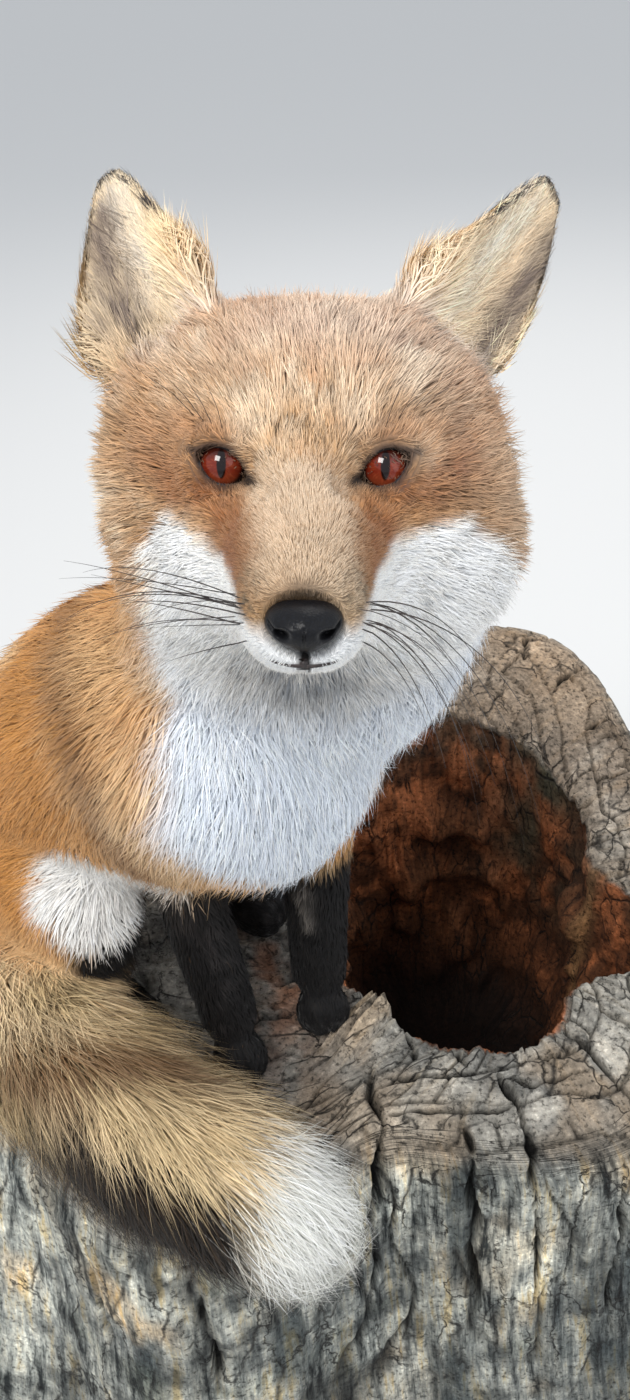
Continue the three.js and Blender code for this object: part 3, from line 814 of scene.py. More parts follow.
def eyelids(centre, inwards, across, gaze):
    """A lid band round the opening: from the eyeball, over a rounded rim, and down into the skin."""
    columns = 96
    angle = np.linspace(0, 2 * math.pi, columns, endpoint=False)
    cos, sin = np.cos(angle), np.sin(angle)
    a = np.where(cos > 0, OPENING["inner"], OPENING["outer"]) * np.sign(cos) * np.abs(cos) ** 0.85
    along = a / np.where(a > 0, OPENING["inner"], OPENING["outer"])
    b = lid_reach(along, sin) * np.sign(sin) * np.sqrt(np.maximum(1 - along**2, 0))
    rows, tones = [], []
    # Each ring: its size, its height over the eyeball, its share of the coat's colour, and how deep it sinks.
    for grow, lift, tone, sink in (
            (0.90, -0.25, 0, 0), (0.97, 0.12, 0, 0), (1.0, 0.7, 0, 0), (1.05, 1.1, 0, 0), (1.12, 1.15, 0, 0),
            (1.22, 1.0, 0.12, 0), (1.34, 0.8, 0.6, 0), (1.5, 0.8, 1, 0.2), (1.72, 0.8, 1, 1.4)):
        pa = a * grow + np.where(cos > 0.8, (grow - 1) * 3, 0)
        pb = b * grow + (grow - 1) * 3.0 * sin
        on_ball = np.sqrt(np.maximum((EYE_RADIUS + lift) ** 2 - pa**2 - pb**2, 4))
        on_skin = surface_depth(centre, inwards, across, gaze, pa, pb) + 0.25
        share = smooth(1.05, 1.36, grow)
        c = np.maximum(on_ball * (1 - share) + on_skin * share - sink, 0)
        rows.append(centre + pa[:, None] * inwards + pb[:, None] * across + c[:, None] * gaze)
        tones.append(np.full(columns, tone))
    points = np.concatenate(rows)
    # The lower lid is painted grey-blue: painted light on its upturned rim.
    low = smooth(0.5, -1.5, (points - centre) @ across)
    faces = facing(points, grid_faces(len(rows), columns), gaze)
    return points, faces, np.concatenate(tones), paint(srgb(16, 14, 16), (srgb(62, 64, 70), low))


def dress_skin():
    grid = vdb.FloatGrid()
    grid.copyFromArray(SKIN.values, ijk=tuple(int(n) for n in SKIN.low))
    grid.transform = vdb.createLinearTransform(voxelSize=VOXEL)
    points, triangles, quads = grid.convertToPolygons(isovalue=0.0, adaptivity=0.012)
    points = np.asarray(points, float)
    quads = np.asarray(quads).reshape(-1, 4)
    faces = [np.asarray(triangles).reshape(-1, 3), quads[:, [0, 1, 2]], quads[:, [0, 2, 3]]]
    faces = facing(points, np.concatenate(faces).astype(np.int64))
    lids = [eyelids(*eye) for eye in EYES.values()]
    tone = np.concatenate([np.ones(len(points))] + [lid[2] for lid in lids])
    lid_tone = np.concatenate([np.zeros((len(points), 3))] + [lid[3] for lid in lids])
    points, faces = joined([(points, faces)] + [lid[:2] for lid in lids])
    colours = markings(points, SKIN.gradient(points), influence(points)[0])
    skin = mesh_object("skin", points, faces, (lid_tone + (colours - lid_tone) * tone[:, None]) * 0.8)
    s = Shader("short_coat", Roughness=0.75, Sheen_Weight=0.15, Specular_IOR_Level=0.25)
    place = s.node("Mapping", {"Vector": s.place(), "Scale": (1, 0.5, 1)}).outputs[0]
    hairs = s.noise(900, 3, at=place)
    s.base(s.mix(s.times(hairs, 0.45), s.tint(), (0.02, 0.015, 0.012, 1)))
    s.bump(hairs, 0.0006, 0.8)
    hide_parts(*FLESH)
    finish(skin, s.material, "rust_fur")
    return points, faces, tone


SKIN_POINTS, SKIN_FACES, SKIN_TONE = dress_skin()


# ---- Eyes ----
def eyeball(side):
    centre, _, _, gaze = EYES[side]
    upright = unit(HEAD_TURN[:, 2] - gaze * (gaze @ HEAD_TURN[:, 2]))
    level = np.cross(upright, gaze)
    rows, columns = 64, 96
    polar = np.linspace(0, math.pi, rows) ** 1.3 / math.pi**0.3
    t, a = np.meshgrid(polar, np.linspace(0, 2 * math.pi, columns, endpoint=False), indexing="ij")
    radius = EYE_RADIUS * (1 + 0.035 * bell(t, 0, 0.55))
    u, v = np.sin(t) * np.cos(a), np.sin(t) * np.sin(a)
    points = centre + (radius * u)[..., None] * level + (radius * v)[..., None] * upright \
        + (radius * np.cos(t))[..., None] * gaze
    u, v = (u * EYE_RADIUS).ravel(), (v * EYE_RADIUS).ravel()
    r = np.hypot(u, v)
    rays = noise(xyz(np.arctan2(v, u) * 3.2, r * 0.22, 0.0), 0.22, 31)
    pupil = np.hypot(u / 1.35, (v - 0.4) / 4.3)
    colour = paint(
        srgb(112, 34, 18),
        (srgb(150, 66, 36), smooth(-0.2, 0.8, rays) * 0.5),
        # the iris is painted darker at the top, painted shadow of the upper lid, and lighter at the bottom, painted
        # light
        (srgb(34, 12, 9), smooth(0.6, 4.4, v) * 0.9),
        (srgb(176, 92, 52), smooth(-1.5, -5.0, v) * 0.25),
        (srgb(24, 10, 8), smooth(5.4, 6.5, r) * 0.95),
        (srgb(6, 4, 5), smooth(1.12, 0.94, pupil)),
        (srgb(14, 10, 10), np.where(np.cos(t).ravel() > 0, smooth(6.3, 6.9, r), 1)))
    name = "glass_" + eye_name(side)
    eye = mesh_object(name, points.reshape(-1, 3), grid_faces(rows, columns)[:, ::-1], colour)
    s = Shader(name, Roughness=0.12, Specular_IOR_Level=0.1, Coat_Weight=1.0, Coat_Roughness=0.02, Coat_IOR=1.4)
    s.base(s.mix(s.times(s.noise(1400, 3), 0.3), s.tint(), (0.03, 0.006, 0.003, 1)))
    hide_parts(eye_name(side))
    finish(eye, s.material, "eye_glass")


eyeball(1)
eyeball(-1)

# ---- Nose, lips and whiskers ----
NOSE_AT = (0, -71.5, -34.2)
NOSE_TURN = 2.15  # how far the pad curls round, in radians
MOUTH = [(0, -72, -47.5), (6, -71, -47.6), (11.5, -67, -45.6), (16, -58, -45.2), (19.5, -44, -47), (23, -28, -50)]


def head_points(local):
    return HEAD_AT + local @ HEAD_TURN.T


def nose_pad():
    """The bare pad: a broad shield with two comma nostrils and the groove between them."""
    rows, columns = 44, 112
    angle = np.linspace(0, 2 * math.pi, columns, endpoint=False)
    share = np.linspace(0, 1, rows)[:, None] ** 0.9
    cos, sin = np.cos(angle), np.sin(angle)
    wide = 10.3 * np.sign(cos) * np.abs(cos) ** 0.80 * (1 + 0.04 * sin - 0.42 * np.maximum(-sin, 0) ** 1.3)
    high = np.where(sin > 0, 6.2, 7.4) * np.sign(sin) * np.abs(sin) ** 0.88
    out = np.sin(np.minimum(share * NOSE_TURN, NOSE_TURN))
    x, z = wide * out / math.sin(1.55), high * out / math.sin(1.55)
    y = -7.2 * np.cos(share * NOSE_TURN) + 0.2 * np.abs(x) ** 1.2 + 0.05 * z * z + 0.10 * z
    side = np.abs(x)
    front = smooth(0.80, 0.62, share)
    hole = bell(side, 5.6, 1.6, z, -1.6, 1.15) * front
    slit = bell(z + 0.8 - 0.24 * (side - 6.4) ** 2, 0, 0.6) * smooth(5.8, 6.8, side) * smooth(9.8, 8.8, side) * front
    wing = bell(side, 7.6, 1.4, z, 1.8, 2.2) * front
    rim = bell(np.hypot(side - 5.6, z + 1.6), 2.5, 0.8) * front
    groove = bell(x, 0, 0.55) * smooth(2.2, -1.5, z) * front
    y = y + 4.2 * hole + 1.8 * slit - 0.55 * wing - 0.45 * rim + 0.9 * groove
    # The nostrils and the groove are painted darker: painted shade in the openings.
    deep = np.clip(hole + 0.7 * slit + 0.35 * groove, 0, 1).ravel()
    nose = mesh_object("nose_pad", head_points(np.stack([x, y, z], -1).reshape(-1, 3) + NOSE_AT),
                       grid_faces(rows, columns)[:, ::-1], paint(srgb(20, 22, 27), (srgb(3, 3, 4), deep)))
    s = Shader("nose_pad", Roughness=0.36, Specular_IOR_Level=0.17)
    cells = s.node("TexVoronoi", {"Vector": s.place(), "Scale": 950.0}, feature="DISTANCE_TO_EDGE").outputs["Distance"]
    pebble = s.math("MULTIPLY", cells, 2.2, clamp=True)
    # The crevices between the pebbles are painted darker: painted shade.
    s.base(s.mix(s.math("SUBTRACT", 1.0, pebble, clamp=True), s.tint(), (0.006, 0.006, 0.007, 1)))
    s.bump(pebble, 0.00012, 0.5)
    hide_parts("nose")
    finish(nose, s.material, "nose_pad")


nose_pad()


def ribbon(path, stops, widths, lift, columns=7):
    """A low rounded band on the skin along head-frame points; its widths are told at stops along it."""
    widths = np.interp(np.linspace(0, 1, len(path)), stops, widths)
    path = SKIN.settle(np.array([head_point(*p) for p in path]), 0.3, 4)
    n = SKIN.gradient(path)
    across = unit(np.cross(unit(np.gradient(path, axis=0)), n))
    rows = []
    for k in np.linspace(-1, 1, columns):
        crest = lift * (1 - k * k) - 0.35 * k * k
        rows.append(SKIN.settle(path + across * (widths[:, None] / 2) * k, 0.3, 2) + n * crest)
    points = np.stack(rows, 1).reshape(-1, 3)
    return points, facing(points, grid_faces(len(path), columns, closed=False))


def curve_through(points, count):
    """A smooth line through a few points."""
    points = np.asarray(points, float)
    n = len(points)
    ends = np.concatenate([[2 * points[0] - points[1]], points, [2 * points[-1] - points[-2]]])
    at = np.linspace(0, n - 1, count)
    i = np.minimum(at.astype(int), n - 2)
    t = (at - i)[:, None]
    p0, p1, p2, p3 = ends[i], ends[i + 1], ends[i + 2], ends[i + 3]
    return 0.5 * (2 * p1 + (p2 - p0) * t + (2 * p0 - 5 * p1 + 4 * p2 - p3) * t**2 + (3 * p1 - p0 - 3 * p2 + p3) * t**3)


def lips():
    parts = [ribbon(curve_through([(side * x, y, z) for x, y, z in MOUTH], 40), [0, 0.3, 0.6, 1],
                    [1.4, 1.0, 0.6, 0.1], 0.12) for side in (1, -1)]
    stem = curve_through([(0, -73.5, -39.5), (0, -74, -43.5), (0, -72.5, -47.2)], 16)
    parts.append(ribbon(stem, [0, 0.5, 1], [3.4, 2.2, 2.2], 0.4))
    points, faces = joined(parts)
    lips = mesh_object("lips", points, faces, np.broadcast_to(srgb(30, 26, 26), points.shape))
    s = Shader("lips", Roughness=0.5)
    worn = s.noise(700, 3)
    s.base(s.ramp(worn, (0.3, srgb(18, 16, 17)), (0.8, srgb(58, 46, 44))))
    s.bump(worn, 0.0003, 0.6)
    finish(lips, s.material, "nose_pad")


lips()


def hair(path, thick):
    """A long single hair: a tapering three-sided tube along head-frame points, rooted in the skin."""
    count = len(path)
    path = head_points(path)
    path[0] = SKIN.settle(path[:1], -0.4, 3)[0]
    t = np.linspace(0, 1, count)[:, None]
    clear, most, start = (2.5, 6, 0.25) if count > 12 else (2.0, 5, 0.3)
    path = path + COAT.gradient(path) * np.clip(clear * t[:, 0] - COAT.at(path), 0, most)[:, None] * smooth(0, start, t)
    along = unit(np.gradient(path, axis=0))
    a = unit(np.cross(along, [0.31, 0.12, 0.94]))
    b = np.cross(along, a)
    taper = np.linspace(1, 0.16, count)[:, None] * thick / 2
    ring = [path + taper * (a * math.cos(turn) + b * math.sin(turn)) for turn in (0, 2.094, 4.189)]
    return np.stack(ring, 1).reshape(-1, 3), grid_faces(count, 3)


def whiskers():
    """Thirteen long whiskers on each side of the muzzle, and four short hairs over each eye."""
    rng = np.random.default_rng(5)
    strands = []
    for side in (1, -1):
        t = np.linspace(0, 1, 16)[:, None]
        for n in range(13):
            row, column = n // 4, n % 4
            root = np.array([side * (15.5 + 0.9 * column), -63 + 4.0 * column + row, -31.0 - 3.2 * row])
            root = root + rng.normal(0, 0.7, 3)
            length = (46 + 10 * column + rng.uniform(-10, 16)) * (1.0 if row < 2 else 0.75)
            droop = rng.uniform(0.05, 0.45) + (0.45 if side > 0 else 0.02)
            lift = (0.12 if side < 0 else -0.30) + 0.12 * (1 - row) + rng.uniform(-0.22, 0.22)
            out = unit(np.array([side * 1.0, 0.20 + 0.10 * column + rng.uniform(-0.15, 0.15), lift]))
            path = root + out * length * t + np.array([side * -0.12, 0.22, -droop]) * length * t**2
            strands.append(hair(path, rng.uniform(0.34, 0.6)))
        t = np.linspace(0, 1, 12)[:, None]
        for n in range(4):
            root = np.array([side * (25 + 4.4 * n), -12 + 3.6 * n, 15 + 1.6 * n])
            lean = unit(np.array([side * (0.25 + 0.16 * n), -0.12, 0.9 - 0.12 * n]))
            path = root + lean * (17 + 2 * n) * t + np.array([side * 0.35, 0.5, 0.05]) * 12 * t**2
            strands.append(hair(path, 0.26))
    s = Shader("whisker", Roughness=0.35)
    s.base(s.ramp(s.noise(60, 2), (0.3, srgb(20, 16, 16)), (0.8, srgb(58, 44, 38))))
    finish(mesh_object("whiskers", *joined(strands), None), s.material, "whisker")


whiskers()


# ---- The coat: tufts as tapering strips, rooted on the skin, that end at the solids' outline ----
def lie(points, normals, where, bones):
    """The direction of the hair, along the skin."""
    x, y, z = head_local(points).T
    side = np.sign(x) * smooth(0, 28, np.abs(x))
    radial = xyz(x / 60, 0.0, (z + 26) / 60)
    face = np.array([0, 1.0, 0]) + radial * 0.55 * smooth(-30, 20, y)[:, None]
    # Over the brow the hair climbs and fans out; under the eyes and on the cheeks it sweeps outwards and down.
    face = face + xyz(side * 0.45, 0.0, 0.25) * (smooth(4, 20, z) * smooth(-20, 0, y))[:, None]
    face = face + xyz(side * 0.7, 0.0, -0.35) * (smooth(-6, -24, z) * smooth(-16, 8, y))[:, None]
    face = face + np.array([0, 0, -0.9]) * (smooth(-52, -66, z) * smooth(20, -10, y))[:, None]
    for centre, _, _, gaze in EYES.values():
        away = points - centre
        q = away - dot(away, gaze)[:, None] * gaze
        near = bell(norm(q), 0, 12) * smooth(30, 16, norm(away))
        face = face + (unit(q) @ HEAD_TURN) * (0.5 * near)[:, None]
    head, trunk = share_of(where, "head")[:, None], share_of(where, "trunk")
    flow = bones @ BONE_LIE * (1 - head) + face @ HEAD_TURN.T * head
    # Weight: long hair on the neck, chest and flanks hangs, and the bib's draws together towards its lower point.
    s = points - SEAT
    front = smooth(20, -30, s[:, 1]) * smooth(150, 200, s[:, 2])
    hang = share_of(where, "neck") * 0.9 + trunk * (0.35 + 0.9 * front) + share_of(where, "tail") * 1.5
    flow = flow + np.array([0, 0, -1.0]) * hang[:, None]
    flow = flow + xyz((8 - s[:, 0]) / 160, 0.0, 0.0) * (front * trunk)[:, None]
    # On the ears it runs to the tip, and outwards over both edges; before the base it sweeps across the cup.
    for name, ear in EARS.items():
        q = (points - ear["at"]) @ ear["axes"]
        back = (normals @ ear["axes"])[:, 1]
        up = q[:, 2] / ear["height"]
        edge = np.sign(q[:, 0]) * smooth(8, 26, np.abs(q[:, 0])) * (0.35 + 0.45 * smooth(0.1, 0.5, up))
        cross = np.array([ear["side"] * 0.5, 0, 0.5]) * (smooth(0.9, 0.3, up) * (back < 0))[:, None]
        flow = flow + ((xyz(edge, 0.0, 0.55) + cross) @ ear["axes"].T) * share_of(where, "ear_" + name)[:, None]
    return unit(flow - dot(flow, normals)[:, None] * normals)


def puff(points):
    """How far the hair stands past the solids: on the cheeks, and in the corner between each ear and the crown."""
    x, y, z = head_local(points).T
    right = 11 * bell(x, -66, 18, z, 10, 27, y, 36, 34) + 8 * bell(x, -62, 14, z, 29, 12, y, 36, 26)
    # Above the left cheek it lies close.
    left = 10 * bell(x, 70, 17, z, -30, 20, y, 20, 28) - 6.5 * bell(x, 64, 16, z, 10, 20, y, 32, 36)
    return right + left + 13 * bell(np.abs(x), 31, 12, z, 57, 12, y, 36, 15)


def strips(points, normals, flow, length, depth, width, segments, rng, lock, pull, stray, mess):
    """Tapering strips. Returns points, triangles, normals, the share along and across, and a chance for each."""
    n = len(points)
    centre, chance = lock_centres(points, lock, 60)
    toward = centre - points
    toward = toward - dot(toward, normals)[:, None] * normals
    turn = ((chance - 0.5) * 0.42 + rng.normal(0, 0.15, n)) * mess
    flow = flow * np.cos(turn)[:, None] + np.cross(normals, flow) * np.sin(turn)[:, None]
    length = length * (0.72 + 0.5 * chance) * rng.uniform(0.75, 1.15, n)
    tip = 0.25 + rng.uniform(0, 1, n) ** 2 * depth * 0.5 + (1 - chance) * depth * 0.15
    tip = tip - puff(points) * rng.uniform(0.2, 1, n)
    # A few thin guard hairs stand proud of the rest.
    loose = rng.random(n) < stray[0]
    tip = np.where(loose, -stray[1] * rng.uniform(0.2, 1, n) ** 1.5, tip)
    width = np.where(loose, width * 0.42, width)
    length = np.where(loose, length * 1.2, length)
    roll = rng.uniform(-0.75, 0.75, n)
    cos, sin = np.cos(roll)[:, None], np.sin(roll)[:, None]
    rows, row_normals = [], []
    at, way, g = points, flow, normals
    for k in range(segments + 1):
        t = k / segments
        under = depth * (1 - t) ** 1.25
        here = at + toward * (pull * t**1.5)[:, None]
        if k:
            g = COAT.gradient(here)
            here = here + g * (-(under + tip * t) - COAT.at(here))[:, None] * min(1.0, 0.5 + t)
        lateral = unit(np.cross(g, way))
        lateral = lateral * cos + g * sin
        face = unit(np.cross(way, lateral))
        if k == segments:
            rows.append(here[:, None])
            row_normals.append(unit(g * 0.8 + face * 0.2)[:, None])
            break
        w = (width * (0.62, 1.0, 0.72)[k])[:, None] / 2
        rows.append(np.stack([here - lateral * w, here + lateral * w], 1))
        row_normals.append(np.stack([unit(g * 0.75 + face * 0.3 + lateral * s * 0.28) for s in (-1, 1)], 1))
        way = unit(way - dot(way, g)[:, None] * g)
        at = at + way * (length / segments)[:, None]
        if k:
            at = at + g * (-under - COAT.at(at))[:, None] * 0.3
    size = 2 * segments + 1
    points = np.concatenate(rows, 1).reshape(-1, 3)
    pattern = []
    for a in range(0, size - 3, 2):
        pattern += [(a, a + 1, a + 3), (a, a + 3, a + 2)]
    pattern.append((size - 3, size - 2, size - 1))
    faces = (np.arange(n)[:, None, None] * size + np.array(pattern)[None]).reshape(-1, 3)
    share = np.tile(np.repeat(np.arange(segments + 1) / segments, [2] * segments + [1]), n)
    across = np.tile([-1, 1] * segments + [0], n)
    faces = facing(points, faces, normals, len(pattern))
    return points, faces, np.concatenate(row_normals, 1).reshape(-1, 3), share, across, chance


def unwrap(points, which):
    """A place on the skin's own unwrapping: round and along each region, side by side in one square."""
    uv = np.zeros((len(points), 2))
    ids = sorted(set(which.tolist()))
    for slot, region in enumerate(ids):
        mine = which == region
        p = points[mine]
        bones = [b for b in BONES if b["region"] == REGIONS[region]]
        start = 0
        best, along, around = np.full(len(p), 1e9), np.zeros(len(p)), np.zeros(len(p))
        total = sum(np.linalg.norm(b["b"] - b["a"]) for b in bones)
        for bone in bones:
            ab = bone["b"] - bone["a"]
            size = np.linalg.norm(ab)
            q = p - bone["a"]
            raw = q @ ab / size**2
            share = np.clip(raw, 0, 1)
            away = norm(q - share[:, None] * ab)
            near = away < best
            best[near] = away[near]
            reach = np.clip(raw, -0.6, 1.6) if len(bones) == 1 else share + np.clip(raw - share, -0.5, 0.5)
            axis = ab / size
            up = np.array([0, -1.0, 0]) if abs(axis[2]) > 0.9 else np.array([0.13, 0.2, 1.0])
            up = unit(up - axis * (axis @ up))
            turn = np.arctan2(q @ np.cross(axis, up), q @ up)
            along[near] = (start + reach[near] * size) / total
            around[near] = turn[near] / (2 * math.pi) + 0.5
            start += size
        uv[mine, 0] = (slot + 0.03 + 0.94 * around) / len(ids)
        uv[mine, 1] = 0.12 + 0.76 * np.clip(along, -0.14, 1.14)
    return uv


def fur_material():
    """The tuft's own colour, broken into several hairs across it."""
    s = Shader("coat", Roughness=0.6, Specular_IOR_Level=0.2, Sheen_Weight=0.05)
    hairs = s.noise(4.2, 2.0, 0.5, s.at(s.attribute("Across"), s.times(s.attribute("Share"), 0.7)))
    light = s.ramp(hairs, (0.30, grey(0.58)), (0.48, grey(0.98)), (0.68, grey(1.32)))
    s.base(s.mix(1.0, s.tint(), light, "MULTIPLY"))
    s.bump(hairs, 0.0003, 0.5)
    return s.material


def mouth_distance(points):
    """How far points are from the lips' line, the groove under the nose and its pad, in the head's frame."""
    x, y, z = head_local(points).T
    q = xyz(np.abs(x), y, z)
    away = np.min([norm(q - c) for c in curve_through(MOUTH, 24)], axis=0)
    stem = np.hypot(x * 0.8, np.maximum(np.abs(z + 43) - 4, 0)) + 99 * (y > -60)
    pad = np.hypot(x / 1.35, z + 35) - 5.5 + 99 * (y > -66)
    return np.minimum(np.minimum(away, stem), pad)


FUR = fur_material()
# The skin's faces: corners, middle, region and area, and where the lids and the mouth keep tufts away.
FACE_CORNERS = corners(SKIN_POINTS, SKIN_FACES)
FACE_AT = sum(FACE_CORNERS) / 3
FACE_MAIN = influence(FACE_AT)[0].argmax(1)
FACE_AREA = norm(np.cross(FACE_CORNERS[1] - FACE_CORNERS[0], FACE_CORNERS[2] - FACE_CORNERS[0])) / 2
LID_CLEAR = smooth(0.3, 0.6, SKIN_TONE[SKIN_FACES].mean(1))
MOUTH_CLEAR = smooth(0.9, 2.2, mouth_distance(FACE_AT))


def coat_piece(name, slot, choose, budget, segments, width, seed, lock, pull, stray, mess=1.0):
    """One joined mesh of tufts, of about the stated number of triangles, over the faces that choose weights.

    The width, and the size of the locks that hairs are pulled to, are in millimetres; stray is the share of guard
    hairs and how far they stand out.
    """
    rng = np.random.default_rng(seed)
    weight = FACE_AREA * choose * LID_CLEAR * MOUTH_CLEAR
    count = int(budget / (2 * segments - 1))
    picked = rng.choice(len(weight), count, p=weight / weight.sum())
    u, v = rng.random(count), rng.random(count)
    flip = u + v > 1
    u[flip], v[flip] = 1 - u[flip], 1 - v[flip]
    a, b, c = (corner[picked] for corner in FACE_CORNERS)
    points = a + (b - a) * u[:, None] + (c - a) * v[:, None]
    normals = SKIN.gradient(points, 2.5)
    where, bones, _, length = influence(points)
    depth = np.maximum(-COAT.at(points), 0.4)
    x, y, z = head_local(points).T
    head, trunk, tail = (share_of(where, name) for name in ("head", "trunk", "tail"))
    ear = share_of(where, *pair("ear"))
    cheek = smooth(38, 64, np.abs(x)) * smooth(10, -30, z) * head
    muzzle = smooth(-14, -32, y) * head
    factor = (1 + 0.6 * cheek) * (1 - 0.55 * smooth(26, 12, from_eyes(points)) * head)
    factor = factor * (1 - 0.35 * muzzle) * (1 - 0.35 * smooth(-34, -52, y) * head)
    length = length * factor
    width = width * np.clip(0.25 + 0.75 * factor, 0.5, 1.4) * (1 - 0.3 * muzzle)
    proud = stray[1] * (0.25 + 0.75 * smooth(0.3, 1.0, length / 20))
    p, f, n, share, across, chance = strips(points, normals, lie(points, normals, where, bones), length, depth, width,
                                            segments, rng, lock, pull * (1 - 0.9 * muzzle), (stray[0], proud), mess)
    size = 2 * segments + 1
    # A tuft takes its colour from the place where most of it lies.
    base = markings(p.reshape(count, size, 3)[:, size - 3], normals, where)
    lum = base.mean(1)
    vary = (rng.normal(0, 0.08, count) + (chance - 0.5) * 0.20) * ((1 + 1.1 * head * (1 - muzzle)) * (1 - 0.3 * muzzle))
    vary = vary + rng.normal(0, 0.10, count) * smooth(0.5, 0.75, lum) * (1 - head)
    # Each tuft is painted darker towards its root: painted shade down among the tufts.
    root = base * (0.50 + 0.30 * smooth(0.3, 0.7, lum) + 0.12 * head + 0.08 * muzzle + 0.15 * ear)[:, None]
    tipped = paint(base * 1.10, (srgb(248, 234, 212),
                                 (0.10 + 0.42 * head * smooth(0.2, 0.5, lum)) * smooth(0.03, 0.12, lum)))
    dark_tip = rng.random(count) < (0.08 * trunk + 0.26 * tail + 0.10 * head) * smooth(0.72, 0.5, lum)
    tipped[dark_tip] = STRAW_DARK * rng.uniform(0.35, 1.0, (dark_tip.sum(), 1))
    t = share.reshape(count, size)[..., None]
    shade = root[:, None] * (1 - smooth(0, 0.5, t)) + base[:, None] * smooth(0, 0.5, t)
    shade = shade * (1 - smooth(0.5, 1, t)) + tipped[:, None] * smooth(0.5, 1, t)
    shade = shade * (1 + vary)[:, None, None]
    uv = np.repeat(unwrap(points, FACE_MAIN[picked]), size, axis=0) + xyz(across * 0.0015, share * 0.003)
    place = np.repeat(rng.uniform(0, 400, count), size)
    hairs = np.repeat(np.clip(width / 0.8, 0.6, 2.4), size)
    piece = mesh_object(name, p, f, shade.reshape(-1, 3), n, np.clip(uv, 0, 1),
                        {"Across": place + across * hairs, "Share": place + share})
    finish(piece, FUR, slot)


def dress_coat():
    def on(*names):
        return np.isin(FACE_MAIN, [REGIONS.index(n) for n in names]).astype(float)

    y, front = head_local(FACE_AT)[:, 1], FACE_AT[:, 1] - SEAT[1]
    knee = norm(FACE_AT - seat_point(-80, -3, 146))
    near_knee = 1 + 2.5 * smooth(60, 40, knee)
    limbs = on(*pair("foreleg"), *pair("shank"))
    head, trunk, tail = on("head"), on("trunk"), on("tail")
    muzzle = head * (y < 22) * (1 + 2.2 * smooth(-8, -34, y))
    for row in (
            ("coat_face", "face_fur", muzzle, 196e3, 2, 0.50, 21, 5.0, 0.25, (0.04, 1.8)),
            ("coat_crown", "face_fur", head * (y >= 22), 180e3, 2, 0.66, 22, 7.0, 0.30, (0.08, 3.5)),
            ("coat_ears", "cream_fur", on(*pair("ear")), 140e3, 2, 0.6, 23, 7.0, 0.3, (0.08, 2.5), 1.5),
            ("coat_throat", "white_fur", on("neck"), 185e3, 3, 1.0, 24, 10.0, 0.28, (0.10, 4.0), 1.3),
            ("coat_chest", "white_fur", trunk * (front < 40), 190e3, 3, 1.1, 25, 11.0, 0.30, (0.09, 4.0), 1.3),
            ("coat_back", "rust_fur", trunk * (front >= 40), 120e3, 3, 1.8, 26, 16.0, 0.40, (0.06, 3.5)),
            ("coat_legs", "black_fur", limbs, 85e3, 2, 1.0, 27, 7.0, 0.3, (0.06, 1.8)),
            ("coat_thighs", "rust_fur", on(*pair("thigh")) * near_knee, 100e3, 3, 1.2, 28, 10.0, 0.25,
             (0.10, 4.0), 1.4),
            ("coat_tail_root", "cream_fur", tail * (front > 0), 100e3, 3, 1.7, 29, 15.0, 0.35, (0.10, 6.0), 1.5),
            ("coat_tail_tip", "cream_fur", tail * (front <= 0), 196e3, 3, 1.0, 30, 12.0, 0.30, (0.22, 12.0), 1.7)):
        coat_piece(*row)


dress_coat()


# ---- The stump: the CAD solid's own outlines walked finely, then weathered, cracked and rotted ----
HALF_WIDTH, HALF_DEPTH, FLARE, TOP = 268, 250, 44, 320
HUB, HOLLOW = (99, -21), (95, 124)  # the hollow's middle and half sizes
FLOOR, EDGE, LIP = 70, 26, 6
GIRTH = 205  # the radius by which directions become lengths round the wall


def bearing_off(degrees, centre):
    return (degrees - centre + 180) % 360 - 180


def hump(angle, centre, width, size):
    """A rise or dip round one direction: angle in radians, centre and width in degrees."""
    return size * bell(bearing_off(np.degrees(angle), centre), 0, width)


